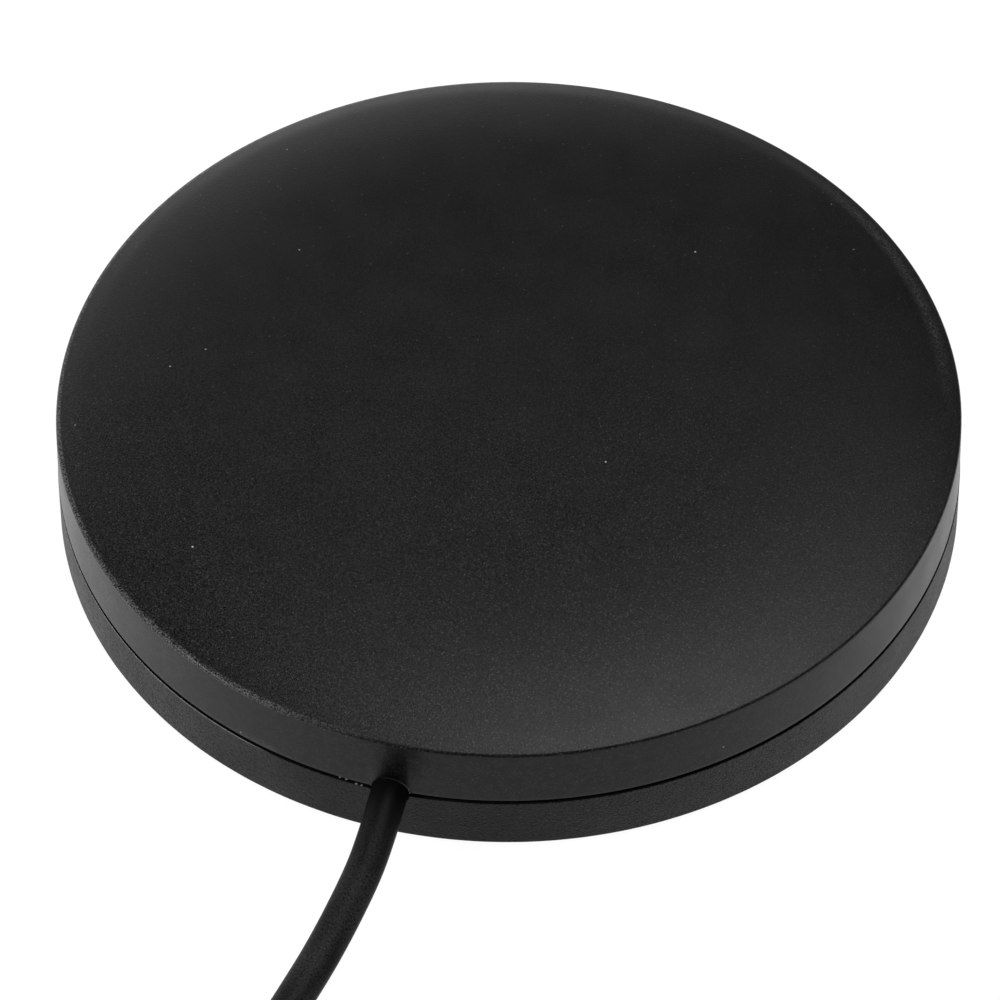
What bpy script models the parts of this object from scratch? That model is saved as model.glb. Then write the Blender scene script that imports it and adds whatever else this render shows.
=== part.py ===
"""Low round cellular antenna: a two-part moulded housing, its coaxial lead and a screw-on plug.

The origin is the middle of the surface that the antenna stands on. +Z is up, and the lead leaves along -Y.
"""
import math

import bmesh
import bpy
from mathutils import Matrix, Vector

MM = 0.001
GAP = 0.3 * MM              # air between two pieces that touch on the real antenna
FLOOR_AIR = 0.05 * MM       # air under what lies on the floor beside the antenna

# Housing, outside
RIM_RADIUS = 35.5 * MM      # crisp edge between the crowned top and the side wall
RIM_HEIGHT = 10.5 * MM
RIM_ROUND = 0.3 * MM
CROWN_RISE = 1.9 * MM       # the middle of the top above the rim
CROWN_FLAT_RADIUS = 13.0 * MM
CROWN_POWER = 3.0           # how late the crown rolls down towards the rim
SEAM_HEIGHT = 5.2 * MM      # middle of the parting groove
SEAM_GAP = 0.3 * MM
COVER_DRAFT = 0.28 * MM     # how much wider the cover is at the groove than at the rim
BASE_DRAFT = 0.2 * MM       # how much wider the base is at its foot than at the groove
BASE_PROUD = 0.05 * MM      # the base's top edge outside the cover's foot
BASE_FOOT_HEIGHT = 0.3 * MM
BASE_FOOT_ROUND = 0.3 * MM

# Housing, inside
COVER_WALL = 1.9 * MM
COVER_TOP_WALL = 1.8 * MM
LAP_CLEARANCE = 0.2 * MM    # between the cover's wall and the base's tongue
LAP_HEIGHT = 1.6 * MM       # tongue above the middle of the groove
TONGUE_WALL = 1.2 * MM
BASE_FLOOR_WALL = 1.1 * MM
RIB_COUNT = 6
RIB_THICKNESS = 1.0 * MM
RIB_DEPTH = 1.0 * MM
RIB_INNER_RADIUS = 7.0 * MM
POST_COUNT = 3
POST_RADIUS = 3.2 * MM
POST_WALL_AIR = 0.6 * MM    # between a post and the tongue
BOSS_RADIUS = 2.8 * MM

# Adhesive pad and its liner
LINER_THICKNESS = 0.12 * MM
PAD_THICKNESS = 0.5 * MM
RECESS_AIR = 0.5 * MM       # round the pad in its recess
FOOT_RING_WIDTH = 4.5 * MM  # the base's underside outside the recess

# Screws
SCREW_SHANK_RADIUS = 1.1 * MM
SCREW_HEAD_RADIUS = 2.1 * MM
SCREW_HEAD_HEIGHT = 1.4 * MM
SCREW_LENGTH = 5.6 * MM
SCREW_CLEARANCE = 0.1 * MM
CLAMP_SCREW_SHANK_RADIUS = 0.8 * MM
CLAMP_SCREW_HEAD_RADIUS = 1.5 * MM
CLAMP_SCREW_HEAD_HEIGHT = 1.0 * MM
CLAMP_SCREW_LENGTH = 4.6 * MM
CROSS_WIDTH = 0.5 * MM

# Circuit board and what it carries
BOARD_THICKNESS = 0.6 * MM
BOARD_AIR = 1.4 * MM        # between the board's edge and the tongue
STANDOFF_COUNT = 4
STANDOFF_RADIUS = 2.0 * MM
STANDOFF_INSET = 9.0 * MM   # from the board's edge to the middle of a standoff
PEG_RADIUS = 0.8 * MM
PEG_HEIGHT = 1.5 * MM
PEG_CLEARANCE = 0.15 * MM
RADIATOR_THICKNESS = 0.3 * MM
RADIATOR_HEIGHT = 3.4 * MM  # underside of the radiator above the board
RADIATOR_AIR = 5.8 * MM     # between the radiator's edge and the cover's bosses
RADIATOR_SLOT_WIDTH = 1.6 * MM
RADIATOR_SLOT_PITCH = 7.0 * MM
RADIATOR_SLOT_Y = 1.4 * MM
RADIATOR_BRIDGE = 10.5 * MM     # metal beside a slot's closed side, which carries the current round it
RADIATOR_EDGE = 5.0 * MM        # metal beside a slot's other end
LEG_WIDTH = 3.0 * MM
LEG_FOOT = 2.4 * MM
SHORT_LEG_X = -9.0 * MM
FEED_TRACK = 5.3 * MM       # from the lead's core to the foot of the feed leg
CHIP_LENGTH = 1.6 * MM
CHIP_WIDTH = 0.8 * MM
CHIP_HEIGHT = 0.5 * MM
CHIP_X = 2.3 * MM

# Coaxial lead
CABLE_RADIUS = 1.4 * MM
CABLE_HOLE_AIR = 0.25 * MM  # between the lead and its hole in the wall
CLAMP_AIR = 0.1 * MM
BRAID_RADIUS = 0.95 * MM
DIELECTRIC_RADIUS = 0.75 * MM
CORE_RADIUS = 0.25 * MM
LAYER_AIR = 0.05 * MM
BRAID_LENGTH = 5.0 * MM
DIELECTRIC_STRIP = 2.6 * MM
CORE_STRIP = 2.6 * MM
GROUND_SOLDER_RADIUS = 2.35 * MM
FEED_SOLDER_RADIUS = 1.5 * MM

# Saddle and clamp that hold the lead inside the housing
SADDLE_WIDTH = 13.0 * MM
SADDLE_DEPTH = 6.3 * MM     # inwards from the tongue
CLAMP_WIDTH = 12.2 * MM
CLAMP_DEPTH = 4.4 * MM
CLAMP_THICKNESS = 2.3 * MM
CLAMP_SCREW_X = 4.2 * MM
CLAMP_EDGE_ROUND = 0.3 * MM

# Coil of the lead, and the tie round it
COIL_CENTRE_X = 16.9 * MM
COIL_CENTRE_REACH = 55.5 * MM   # in front of the lead's hole
COIL_OUTER_RADIUS = 29.5 * MM
COIL_INNER_RADIUS = 11.9 * MM
COIL_HEIGHT = 10.3 * MM
COIL_ROUND = 1.4 * MM
TIE_ANGLE = math.radians(50.0)
TIE_WIDTH = 3.6 * MM
TIE_THICKNESS = 0.7 * MM
TIE_HEAD_REACH = 3.4 * MM
TIE_HEAD_WIDTH = 5.0 * MM
TIE_HEAD_HEIGHT = 4.4 * MM

# Routes of the lead in the open, in millimetres from the foot of the wall under its hole, chosen by hand
LEAD_ROUTE = (
    (0.0, 2.8, 5.2), (0.0, -0.8, 5.2), (0.0, -3.4, 4.85), (-0.25, -6.4, 3.95), (-0.9, -9.8, 2.9),
    (-1.75, -13.4, 1.95), (-2.7, -17.2, 1.5), (-3.9, -22.5, 1.45), (-5.3, -28.6, 1.45), (-7.2, -35.7, 1.45),
)
# From the coil's top turn, down past its side, to the plug
TAIL_ROUTE = (
    (-0.23, -81.63, 7.9), (3.14, -85.87, 6.6), (7.63, -89.36, 5.1), (13.29, -91.08, 4.2),
)

# Plug: distances along its axis start at the rear end of the ferrule
PLUG_REAR_X = 27.55 * MM
PLUG_REAR_REACH = 90.1 * MM     # in front of the lead's hole
PLUG_HEADING = math.radians(6.0)
FERRULE_RADIUS = 1.95 * MM
FERRULE_LENGTH = 7.0 * MM
STEM_RADIUS = 1.25 * MM
STEM_START = 2.5 * MM
SHOULDER_RADIUS = 3.0 * MM
SHOULDER_LENGTH = 2.1 * MM
NECK_RADIUS = 2.6 * MM
NECK_LENGTH = 3.9 * MM
FRONT_SLEEVE_RADIUS = 2.3 * MM
FRONT_SLEEVE_LENGTH = 2.6 * MM
INSULATOR_RADIUS = 2.05 * MM
INSULATOR_LENGTH = 5.4 * MM
PIN_RADIUS = 0.46 * MM
PIN_SEAT = 0.6 * MM         # insulator behind the pin
PIN_REACH = 1.9 * MM        # pin in front of the insulator
PIN_POINT = 0.5 * MM
SEAT_AIR = 0.05 * MM        # round the pieces pressed into the connector body
NUT_ACROSS_FLATS = 8.0 * MM
NUT_LENGTH = 8.6 * MM
NUT_CHAMFER = 0.5 * MM
NUT_RUN_AIR = 0.1 * MM      # running clearance of the nut on the neck
NUT_THREAD_RADIUS = 3.05 * MM
SNAP_GROOVE_START = 1.5 * MM
SNAP_RING_WIDTH = 0.5 * MM
SNAP_RING_DEPTH = 0.25 * MM
SNAP_RING_MOUTH = math.radians(30.0)
GASKET_LENGTH = 0.7 * MM
GASKET_WALL = 0.55 * MM
SLEEVE_WALL = 0.45 * MM
SLEEVE_AIR = 0.1 * MM
SLEEVE_REAR = 8.0 * MM      # heat-shrink behind the ferrule
SLEEVE_FRONT = 6.4 * MM     # heat-shrink over the ferrule

# Facets
HOUSING_STEPS = 72
DISC_STEPS = 48
COIL_STEPS = 36
BORE_STEPS = 24
SMALL_STEPS = 16
CROWN_STEPS = 9
CORNER_STEPS = 3

# Heights and radii that follow from the sizes above
BASE_TOP = SEAM_HEIGHT - SEAM_GAP / 2
COVER_FOOT = SEAM_HEIGHT + SEAM_GAP / 2
COVER_FOOT_RADIUS = RIM_RADIUS + COVER_DRAFT
COVER_INNER_RADIUS = COVER_FOOT_RADIUS - COVER_WALL
TONGUE_OUTER_RADIUS = COVER_INNER_RADIUS - LAP_CLEARANCE
TONGUE_INNER_RADIUS = TONGUE_OUTER_RADIUS - TONGUE_WALL
TONGUE_TOP = SEAM_HEIGHT + LAP_HEIGHT
BASE_TOP_RADIUS = COVER_FOOT_RADIUS + BASE_PROUD
BASE_FOOT_RADIUS = BASE_TOP_RADIUS + BASE_DRAFT
PAD_BOTTOM = LINER_THICKNESS + GAP
PAD_TOP = PAD_BOTTOM + PAD_THICKNESS
RECESS_CEILING = PAD_TOP + GAP
RECESS_RADIUS = BASE_FOOT_RADIUS - FOOT_RING_WIDTH
PAD_RADIUS = RECESS_RADIUS - RECESS_AIR
FLOOR_TOP = RECESS_CEILING + BASE_FLOOR_WALL
POST_CIRCLE = TONGUE_INNER_RADIUS - POST_WALL_AIR - POST_RADIUS
SCREW_HEAD_BOTTOM = RECESS_CEILING + GAP / 2
SCREW_SEAT = SCREW_HEAD_BOTTOM + SCREW_HEAD_HEIGHT + GAP
SCREW_TIP = SCREW_HEAD_BOTTOM + SCREW_HEAD_HEIGHT + SCREW_LENGTH
CABLE_AXIS_HEIGHT = SEAM_HEIGHT
BOARD_TOP = CABLE_AXIS_HEIGHT - BRAID_RADIUS - GAP
BOARD_BOTTOM = BOARD_TOP - BOARD_THICKNESS
BOARD_RADIUS = TONGUE_INNER_RADIUS - BOARD_AIR
STANDOFF_CIRCLE = BOARD_RADIUS - STANDOFF_INSET
STANDOFF_TOP = BOARD_BOTTOM - GAP
CLAMP_BOTTOM = BASE_TOP + GAP
CLAMP_TOP = CLAMP_BOTTOM + CLAMP_THICKNESS
SADDLE_INNER_Y = -TONGUE_INNER_RADIUS + SADDLE_DEPTH
CLAMP_Y = SADDLE_INNER_Y - GAP - CLAMP_DEPTH / 2
BOARD_FRONT_Y = SADDLE_INNER_Y + 2 * GAP
JACKET_END_Y = BOARD_FRONT_Y - GAP
BRAID_END_Y = BOARD_FRONT_Y + BRAID_LENGTH
DIELECTRIC_END_Y = BRAID_END_Y + DIELECTRIC_STRIP
CORE_END_Y = DIELECTRIC_END_Y + CORE_STRIP
RADIATOR_FRONT_Y = CORE_END_Y + FEED_TRACK + LEG_FOOT
RADIATOR_RADIUS = POST_CIRCLE - BOSS_RADIUS - RADIATOR_AIR
CABLE_HOLE_RADIUS = CABLE_RADIUS + CABLE_HOLE_AIR
EXIT = Vector((0.0, -COVER_FOOT_RADIUS, 0.0))
COIL_CENTRE = EXIT + Vector((COIL_CENTRE_X, -COIL_CENTRE_REACH, 0.0))
SHOULDER_START = FERRULE_LENGTH + GAP
NECK_START = SHOULDER_START + SHOULDER_LENGTH
FRONT_SLEEVE_START = NECK_START + NECK_LENGTH
BODY_END = FRONT_SLEEVE_START + FRONT_SLEEVE_LENGTH
INSULATOR_END = BODY_END - SEAT_AIR
INSULATOR_START = INSULATOR_END - INSULATOR_LENGTH
PIN_START = INSULATOR_START + PIN_SEAT
NUT_START = NECK_START + GAP
NUT_END = NUT_START + NUT_LENGTH
NUT_STEP = FRONT_SLEEVE_START - GAP
SNAP_START = NECK_START + SNAP_GROOVE_START
FERRULE_BORE_RADIUS = CABLE_RADIUS + SLEEVE_AIR
PLUG_REAR = EXIT + Vector((PLUG_REAR_X, -PLUG_REAR_REACH, NUT_ACROSS_FLATS / 2 + FLOOR_AIR))
PLUG_FORWARD = Vector((math.cos(PLUG_HEADING), math.sin(PLUG_HEADING), 0.0))

TAU = 2 * math.pi


def clear_scene():
    for obj in list(bpy.data.objects):
        bpy.data.objects.remove(obj)


def new_collection(name):
    group = bpy.data.collections.new(name)
    bpy.context.scene.collection.children.link(group)
    return group


clear_scene()
PARTS = new_collection("cellular_antenna")
CUTTERS = new_collection("cutters")


def new_material(name, color, roughness, metallic=0.0):
    material = bpy.data.materials.new(name)
    material.use_nodes = True
    shader = material.node_tree.nodes["Principled BSDF"]
    shader.inputs["Base Color"].default_value = (*color, 1.0)
    shader.inputs["Roughness"].default_value = roughness
    shader.inputs["Metallic"].default_value = metallic
    return material


def add_part(name, mesh, color, roughness, metallic=0.0):
    """A named piece of the antenna with its own material."""
    obj = bpy.data.objects.new(name, mesh)
    PARTS.objects.link(obj)
    obj.data.materials.append(new_material(name, color, roughness, metallic))
    return obj


def add_cutter(name, mesh):
    """A shape that cuts or joins others and isn't a piece itself."""
    obj = bpy.data.objects.new(name, mesh)
    CUTTERS.objects.link(obj)
    obj.hide_render = True
    obj.display_type = 'WIRE'
    return obj


def use_boolean(target, tool, operation):
    modifier = target.modifiers.new(tool.name, 'BOOLEAN')
    modifier.operation = operation
    modifier.solver = 'EXACT'
    modifier.object = tool


def cut(target, *tools):
    for tool in tools:
        use_boolean(target, tool, 'DIFFERENCE')


def join(target, *tools):
    for tool in tools:
        use_boolean(target, tool, 'UNION')


def profile_mesh(points, closed, angle=0.0):
    """A line of (radius, height) points as edges, for a Screw modifier to turn from a start angle."""
    mesh = bpy.data.meshes.new("profile")
    edges = [(i, i + 1) for i in range(len(points) - 1)]
    if closed:
        edges.append((len(points) - 1, 0))
    places = [(radius * math.cos(angle), radius * math.sin(angle), height) for radius, height in points]
    mesh.from_pydata(places, edges, [])
    return mesh


def turn(obj, steps):
    """Turn an object's profile a full circle round its own Z axis."""
    screw = obj.modifiers.new("Turn", 'SCREW')
    screw.steps = steps
    screw.render_steps = steps
    screw.use_merge_vertices = True
    screw.merge_threshold = 0.000001
    screw.use_smooth_shade = True


def turned_part(name, points, steps, color, roughness, metallic=0.0, closed=False):
    obj = add_part(name, profile_mesh(points, closed), color, roughness, metallic)
    turn(obj, steps)
    return obj


def turned_cutter(name, points, steps, closed=False):
    """A turned cutter, half a facet round from the pieces so that no two corners fall on one line."""
    obj = add_cutter(name, profile_mesh(points, closed, math.pi / steps))
    turn(obj, steps)
    return obj


def rod_profile(radius, bottom, top):
    return [(0.0, top), (radius, top), (radius, bottom), (0.0, bottom)]


def ring_profile(inner, outer, bottom, top):
    return [(inner, top), (outer, top), (outer, bottom), (inner, bottom)]


def rounded(points, corners):
    """A profile with arcs at the corners that the dictionary names by index, with their radii."""
    result = []
    for index, (radius, height) in enumerate(points):
        if index not in corners:
            result.append((radius, height))
            continue
        corner = Vector((radius, height))
        before = (Vector(points[index - 1]) - corner).normalized()
        after = (Vector(points[(index + 1) % len(points)]) - corner).normalized()
        half_angle = before.angle(after) / 2
        centre = corner + (before + after).normalized() * (corners[index] / math.sin(half_angle))
        reach = corners[index] / math.tan(half_angle)
        start = corner + before * reach - centre
        end = corner + after * reach - centre
        sweep = start.angle_signed(end)
        for step in range(CORNER_STEPS + 1):
            turn_by = Matrix.Rotation(-sweep * step / CORNER_STEPS, 2)
            point = centre + turn_by @ start
            result.append((point.x, point.y))
    return result


def box_mesh(size, centre):
    """A box as a primitive cube, scaled in its mesh."""
    bm = bmesh.new()
    bmesh.ops.create_cube(bm, size=1.0)
    bmesh.ops.scale(bm, vec=Vector(size), verts=bm.verts)
    bmesh.ops.translate(bm, vec=Vector(centre), verts=bm.verts)
    mesh = bpy.data.meshes.new("box")
    bm.to_mesh(mesh)
    bm.free()
    return mesh


def weld(mesh):
    """Merge points that fall on one place."""
    bm = bmesh.new()
    bm.from_mesh(mesh)
    bmesh.ops.remove_doubles(bm, verts=bm.verts, dist=0.000001)
    bm.to_mesh(mesh)
    bm.free()


def curve_to_mesh(curve_object):
    """A curve's solid as a mesh with its caps welded, and its place; the curve itself goes."""
    bpy.context.view_layer.update()
    evaluated = curve_object.evaluated_get(bpy.context.evaluated_depsgraph_get())
    mesh = bpy.data.meshes.new_from_object(evaluated)
    weld(mesh)
    mesh.materials.clear()
    placed = curve_object.matrix_world.copy()
    bpy.data.objects.remove(curve_object)
    return mesh, placed


def curve_part(curve_object, name, color, roughness, metallic=0.0):
    mesh, placed = curve_to_mesh(curve_object)
    obj = add_part(name, mesh, color, roughness, metallic)
    obj.matrix_world = placed
    return obj


def curve_cutter(curve_object, name):
    mesh, placed = curve_to_mesh(curve_object)
    obj = add_cutter(name, mesh)
    obj.matrix_world = placed
    return obj


def flat_curve(outlines, thickness):
    """A flat outline, with any holes, extruded to a thickness about its own plane."""
    data = bpy.data.curves.new("outline", 'CURVE')
    data.dimensions = '2D'
    data.fill_mode = 'BOTH'
    data.extrude = thickness / 2
    for outline in outlines:
        spline = data.splines.new('POLY')
        spline.points.add(len(outline) - 1)
        spline.use_cyclic_u = True
        for point, (x, y) in zip(spline.points, outline):
            point.co = (x, y, 0.0, 1.0)
    obj = bpy.data.objects.new("outline", data)
    bpy.context.scene.collection.objects.link(obj)
    return obj


def arc(radius, start, end, steps, centre=(0.0, 0.0)):
    angles = [start + (end - start) * i / steps for i in range(steps + 1)]
    return [(centre[0] + radius * math.cos(a), centre[1] + radius * math.sin(a)) for a in angles]


def rectangle(x0, y0, x1, y1):
    return [(x0, y0), (x1, y0), (x1, y1), (x0, y1)]


def rounded_rectangle(x0, y0, x1, y1, radius):
    quarter = math.pi / 2
    centres = ((x1 - radius, y1 - radius), (x0 + radius, y1 - radius),
               (x0 + radius, y0 + radius), (x1 - radius, y0 + radius))
    outline = []
    for index, centre in enumerate(centres):
        outline += arc(radius, index * quarter, (index + 1) * quarter, 4, centre)
    return outline


def smooth_route(route, spacing):
    """Points a set distance apart on a smooth curve through the route's own points."""
    ends = [2 * route[0] - route[1], *route, 2 * route[-1] - route[-2]]
    fine = []
    for p0, p1, p2, p3 in zip(ends, ends[1:], ends[2:], ends[3:]):
        for step in range(24):
            t = step / 24
            fine.append(0.5 * (2 * p1 + (p2 - p0) * t + (2 * p0 - 5 * p1 + 4 * p2 - p3) * t ** 2
                               + (3 * p1 - p0 - 3 * p2 + p3) * t ** 3))
    fine.append(route[-1])
    length = sum((b - a).length for a, b in zip(fine, fine[1:]))
    count = max(2, round(length / spacing))
    result = [fine[0]]
    walked = 0.0
    for a, b in zip(fine, fine[1:]):
        step = (b - a).length
        while len(result) < count and walked + step >= len(result) * length / count:
            share = (len(result) * length / count - walked) / step
            result.append(a.lerp(b, share))
        walked += step
    result.append(route[-1])
    return result


def tube_part(name, route, radius, color, roughness):
    """A round lead along a route, with closed ends."""
    data = bpy.data.curves.new(name, 'CURVE')
    data.dimensions = '3D'
    data.bevel_depth = radius
    data.bevel_resolution = 2
    data.use_fill_caps = True
    points = smooth_route(route, 4 * radius)
    spline = data.splines.new('POLY')
    spline.points.add(len(points) - 1)
    for point, place in zip(spline.points, points):
        point.co = (*place, 1.0)
    obj = bpy.data.objects.new(name, data)
    bpy.context.scene.collection.objects.link(obj)
    return curve_part(obj, name, color, roughness)


def around(index, count, radius, first=0.0):
    """A place on a circle of equal steps, as x and y."""
    angle = first + TAU * index / count
    return radius * math.cos(angle), radius * math.sin(angle)


def along_y(obj, x, start_y, height):
    """Lay a piece turned about Z along +Y, with its own zero at start_y."""
    obj.location = (x, start_y, height)
    obj.rotation_euler = (-math.pi / 2, 0.0, 0.0)
    return obj


def crown_height(radius):
    """Height of the outer top surface above the rim."""
    share = max(0.0, radius - CROWN_FLAT_RADIUS) / (RIM_RADIUS - CROWN_FLAT_RADIUS)
    return CROWN_RISE * (1 - share ** CROWN_POWER)


POST_PLACES = [around(i, POST_COUNT, POST_CIRCLE, math.pi / 2) for i in range(POST_COUNT)]
STANDOFF_PLACES = [around(i, STANDOFF_COUNT, STANDOFF_CIRCLE, math.pi / 4) for i in range(STANDOFF_COUNT)]

BLACK = (0.012, 0.012, 0.013)
STEEL = (0.55, 0.55, 0.56)
GOLD = (0.75, 0.55, 0.22)


def cable_hole_cutter(name, inner_y, outer_y, radius):
    """A round cutter along the lead where it passes through the housing."""
    cutter = turned_cutter(name, rod_profile(radius, 0.0, outer_y - inner_y), BORE_STEPS)
    return along_y(cutter, 0.0, inner_y, CABLE_AXIS_HEIGHT)


def crown_points(end, steps, below):
    """Places on the crown from the flat middle to a radius, a set distance below the outer surface."""
    radii = [CROWN_FLAT_RADIUS + (end - CROWN_FLAT_RADIUS) * step / steps for step in range(steps + 1)]
    return [(radius, RIM_HEIGHT + crown_height(radius) - below) for radius in radii]


def make_top_cover():
    """Crowned shell with a drafted wall, screw bosses, ribs and the upper half of the cable hole."""
    middle_top = RIM_HEIGHT + CROWN_RISE
    outer = [(0.0, middle_top)] + crown_points(RIM_RADIUS, CROWN_STEPS, 0.0)
    rim = len(outer) - 1
    foot = [(COVER_FOOT_RADIUS, COVER_FOOT), (COVER_INNER_RADIUS, COVER_FOOT)]
    ceiling = crown_points(COVER_INNER_RADIUS - COVER_DRAFT, CROWN_STEPS // 2, COVER_TOP_WALL)
    inner = ceiling[::-1] + [(0.0, middle_top - COVER_TOP_WALL)]
    profile = rounded(outer + foot + inner, {rim: RIM_ROUND})
    cover = turned_part("top_cover", profile, HOUSING_STEPS, BLACK, 0.5)

    rib_line = [(RIB_INNER_RADIUS, middle_top)] + crown_points(COVER_INNER_RADIUS, CROWN_STEPS, 0.0)
    rib_top = [(radius, height - COVER_TOP_WALL / 2) for radius, height in rib_line]
    rib_edge = [(radius, height - COVER_TOP_WALL - RIB_DEPTH) for radius, height in rib_line[::-1]]
    for index in range(RIB_COUNT):
        rib = curve_cutter(flat_curve([rib_top + rib_edge], RIB_THICKNESS), f"cover_rib_{index + 1}")
        rib.rotation_euler = (math.pi / 2, 0.0, TAU * index / RIB_COUNT)
        join(cover, rib)
    boss_top = RIM_HEIGHT + crown_height(POST_CIRCLE) - COVER_TOP_WALL / 2
    for index, (x, y) in enumerate(POST_PLACES):
        boss = turned_cutter(f"cover_boss_{index + 1}",
                             rod_profile(BOSS_RADIUS, COVER_FOOT, boss_top), SMALL_STEPS)
        boss.location = (x, y, 0.0)
        join(cover, boss)
    for index, (x, y) in enumerate(POST_PLACES):
        pilot = turned_cutter(f"cover_pilot_{index + 1}", rod_profile(
            SCREW_SHANK_RADIUS + SCREW_CLEARANCE, COVER_FOOT - GAP, SCREW_TIP + GAP), SMALL_STEPS)
        pilot.location = (x, y, 0.0)
        cut(cover, pilot)
    cut(cover, cable_hole_cutter("cover_cable_hole", -COVER_FOOT_RADIUS - GAP, -COVER_INNER_RADIUS + GAP,
                                 CABLE_HOLE_RADIUS))


def make_base_plate():
    """Tray with the lap tongue, screw posts, board standoffs, cable saddle and pad recess."""
    profile = rounded([
        (0.0, FLOOR_TOP), (TONGUE_INNER_RADIUS, FLOOR_TOP), (TONGUE_INNER_RADIUS, TONGUE_TOP),
        (TONGUE_OUTER_RADIUS, TONGUE_TOP), (TONGUE_OUTER_RADIUS, BASE_TOP), (BASE_TOP_RADIUS, BASE_TOP),
        (BASE_FOOT_RADIUS, BASE_FOOT_HEIGHT), (RECESS_RADIUS, BASE_FOOT_HEIGHT),
        (RECESS_RADIUS, RECESS_CEILING), (0.0, RECESS_CEILING)],
        {6: BASE_FOOT_ROUND})
    base = turned_part("base_plate", profile, HOUSING_STEPS, BLACK, 0.6)
    sunk = FLOOR_TOP - BASE_FLOOR_WALL / 2

    for index, (x, y) in enumerate(POST_PLACES):
        post = turned_cutter(f"base_post_{index + 1}", rod_profile(POST_RADIUS, sunk, BASE_TOP), SMALL_STEPS)
        post.location = (x, y, 0.0)
        join(base, post)
    for index, (x, y) in enumerate(STANDOFF_PLACES):
        standoff = turned_cutter(f"base_standoff_{index + 1}", [
            (0.0, STANDOFF_TOP + PEG_HEIGHT), (PEG_RADIUS, STANDOFF_TOP + PEG_HEIGHT),
            (PEG_RADIUS, STANDOFF_TOP), (STANDOFF_RADIUS, STANDOFF_TOP),
            (STANDOFF_RADIUS, sunk), (0.0, sunk)], SMALL_STEPS)
        standoff.location = (x, y, 0.0)
        join(base, standoff)
    saddle_outer_y = -(TONGUE_INNER_RADIUS + TONGUE_WALL / 2)
    saddle = add_cutter("base_saddle", box_mesh(
        (SADDLE_WIDTH, SADDLE_INNER_Y - saddle_outer_y, BASE_TOP - sunk),
        (0.0, (SADDLE_INNER_Y + saddle_outer_y) / 2, (BASE_TOP + sunk) / 2)))
    join(base, saddle)

    for index, (x, y) in enumerate(POST_PLACES):
        screw_hole = turned_cutter(f"base_screw_hole_{index + 1}", [
            (0.0, BASE_TOP + GAP), (SCREW_SHANK_RADIUS + 2 * SCREW_CLEARANCE, BASE_TOP + GAP),
            (SCREW_SHANK_RADIUS + 2 * SCREW_CLEARANCE, SCREW_SEAT),
            (SCREW_HEAD_RADIUS + GAP, SCREW_SEAT),
            (SCREW_HEAD_RADIUS + GAP, RECESS_CEILING - GAP), (0.0, RECESS_CEILING - GAP)], SMALL_STEPS)
        screw_hole.location = (x, y, 0.0)
        cut(base, screw_hole)
    for side in (-1, 1):
        pilot = turned_cutter(f"base_clamp_pilot_{side}", rod_profile(
            CLAMP_SCREW_SHANK_RADIUS + SCREW_CLEARANCE, CLAMP_TOP - CLAMP_SCREW_LENGTH - GAP, BASE_TOP + GAP),
            SMALL_STEPS)
        pilot.location = (side * CLAMP_SCREW_X, CLAMP_Y, 0.0)
        cut(base, pilot)
    inner_end = SADDLE_INNER_Y + GAP
    cut(base, cable_hole_cutter("base_cable_hole", -BASE_FOOT_RADIUS - GAP, inner_end, CABLE_HOLE_RADIUS))
    slot_inner_y = -TONGUE_INNER_RADIUS + GAP
    slot_outer_y = -(TONGUE_OUTER_RADIUS + LAP_CLEARANCE)
    cut(base, add_cutter("tongue_slot", box_mesh(
        (2 * CABLE_HOLE_RADIUS, slot_inner_y - slot_outer_y, 2 * LAP_HEIGHT),
        (0.0, (slot_inner_y + slot_outer_y) / 2, CABLE_AXIS_HEIGHT + LAP_HEIGHT))))


def make_pad_and_liner():
    """Foam pad in the base's recess, and the film under it."""
    turned_part("adhesive_pad", rod_profile(PAD_RADIUS, PAD_BOTTOM, PAD_TOP), DISC_STEPS,
                (0.03, 0.03, 0.03), 0.95)
    turned_part("release_liner", rod_profile(PAD_RADIUS, 0.0, LINER_THICKNESS), DISC_STEPS,
                (0.75, 0.72, 0.6), 0.4)


def make_screw(name, x, y, head_start, upwards, head, shank_radius, length):
    """A pan-head screw, its head first along its own -Z; upwards drives it along +Z."""
    head_radius, head_height = head
    point = shank_radius * 1.2
    profile = rounded([
        (0.0, head_height), (head_radius, head_height), (head_radius, 0.0), (shank_radius, 0.0),
        (shank_radius, point - length), (0.0, -length)], {1: head_height / 2})
    screw = turned_part(name, profile, SMALL_STEPS, STEEL, 0.35, 1.0)
    for index in range(2):
        cross = add_cutter(f"{name}_cross_{index + 1}", box_mesh(
            (head_radius * 1.2, CROSS_WIDTH, head_height), (0.0, 0.0, head_height)))
        cross.rotation_euler.z = index * math.pi / 2
        cross.parent = screw
        cut(screw, cross)
    screw.location = (x, y, head_start)
    if upwards:
        screw.rotation_euler.x = math.pi


def make_cover_screws():
    """Three screws, driven up through the base's posts into the cover's bosses."""
    head = (SCREW_HEAD_RADIUS, SCREW_HEAD_HEIGHT)
    for index, (x, y) in enumerate(POST_PLACES):
        make_screw(f"cover_screw_{index + 1}", x, y, SCREW_HEAD_BOTTOM + SCREW_HEAD_HEIGHT, True,
                   head, SCREW_SHANK_RADIUS, SCREW_LENGTH)


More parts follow.
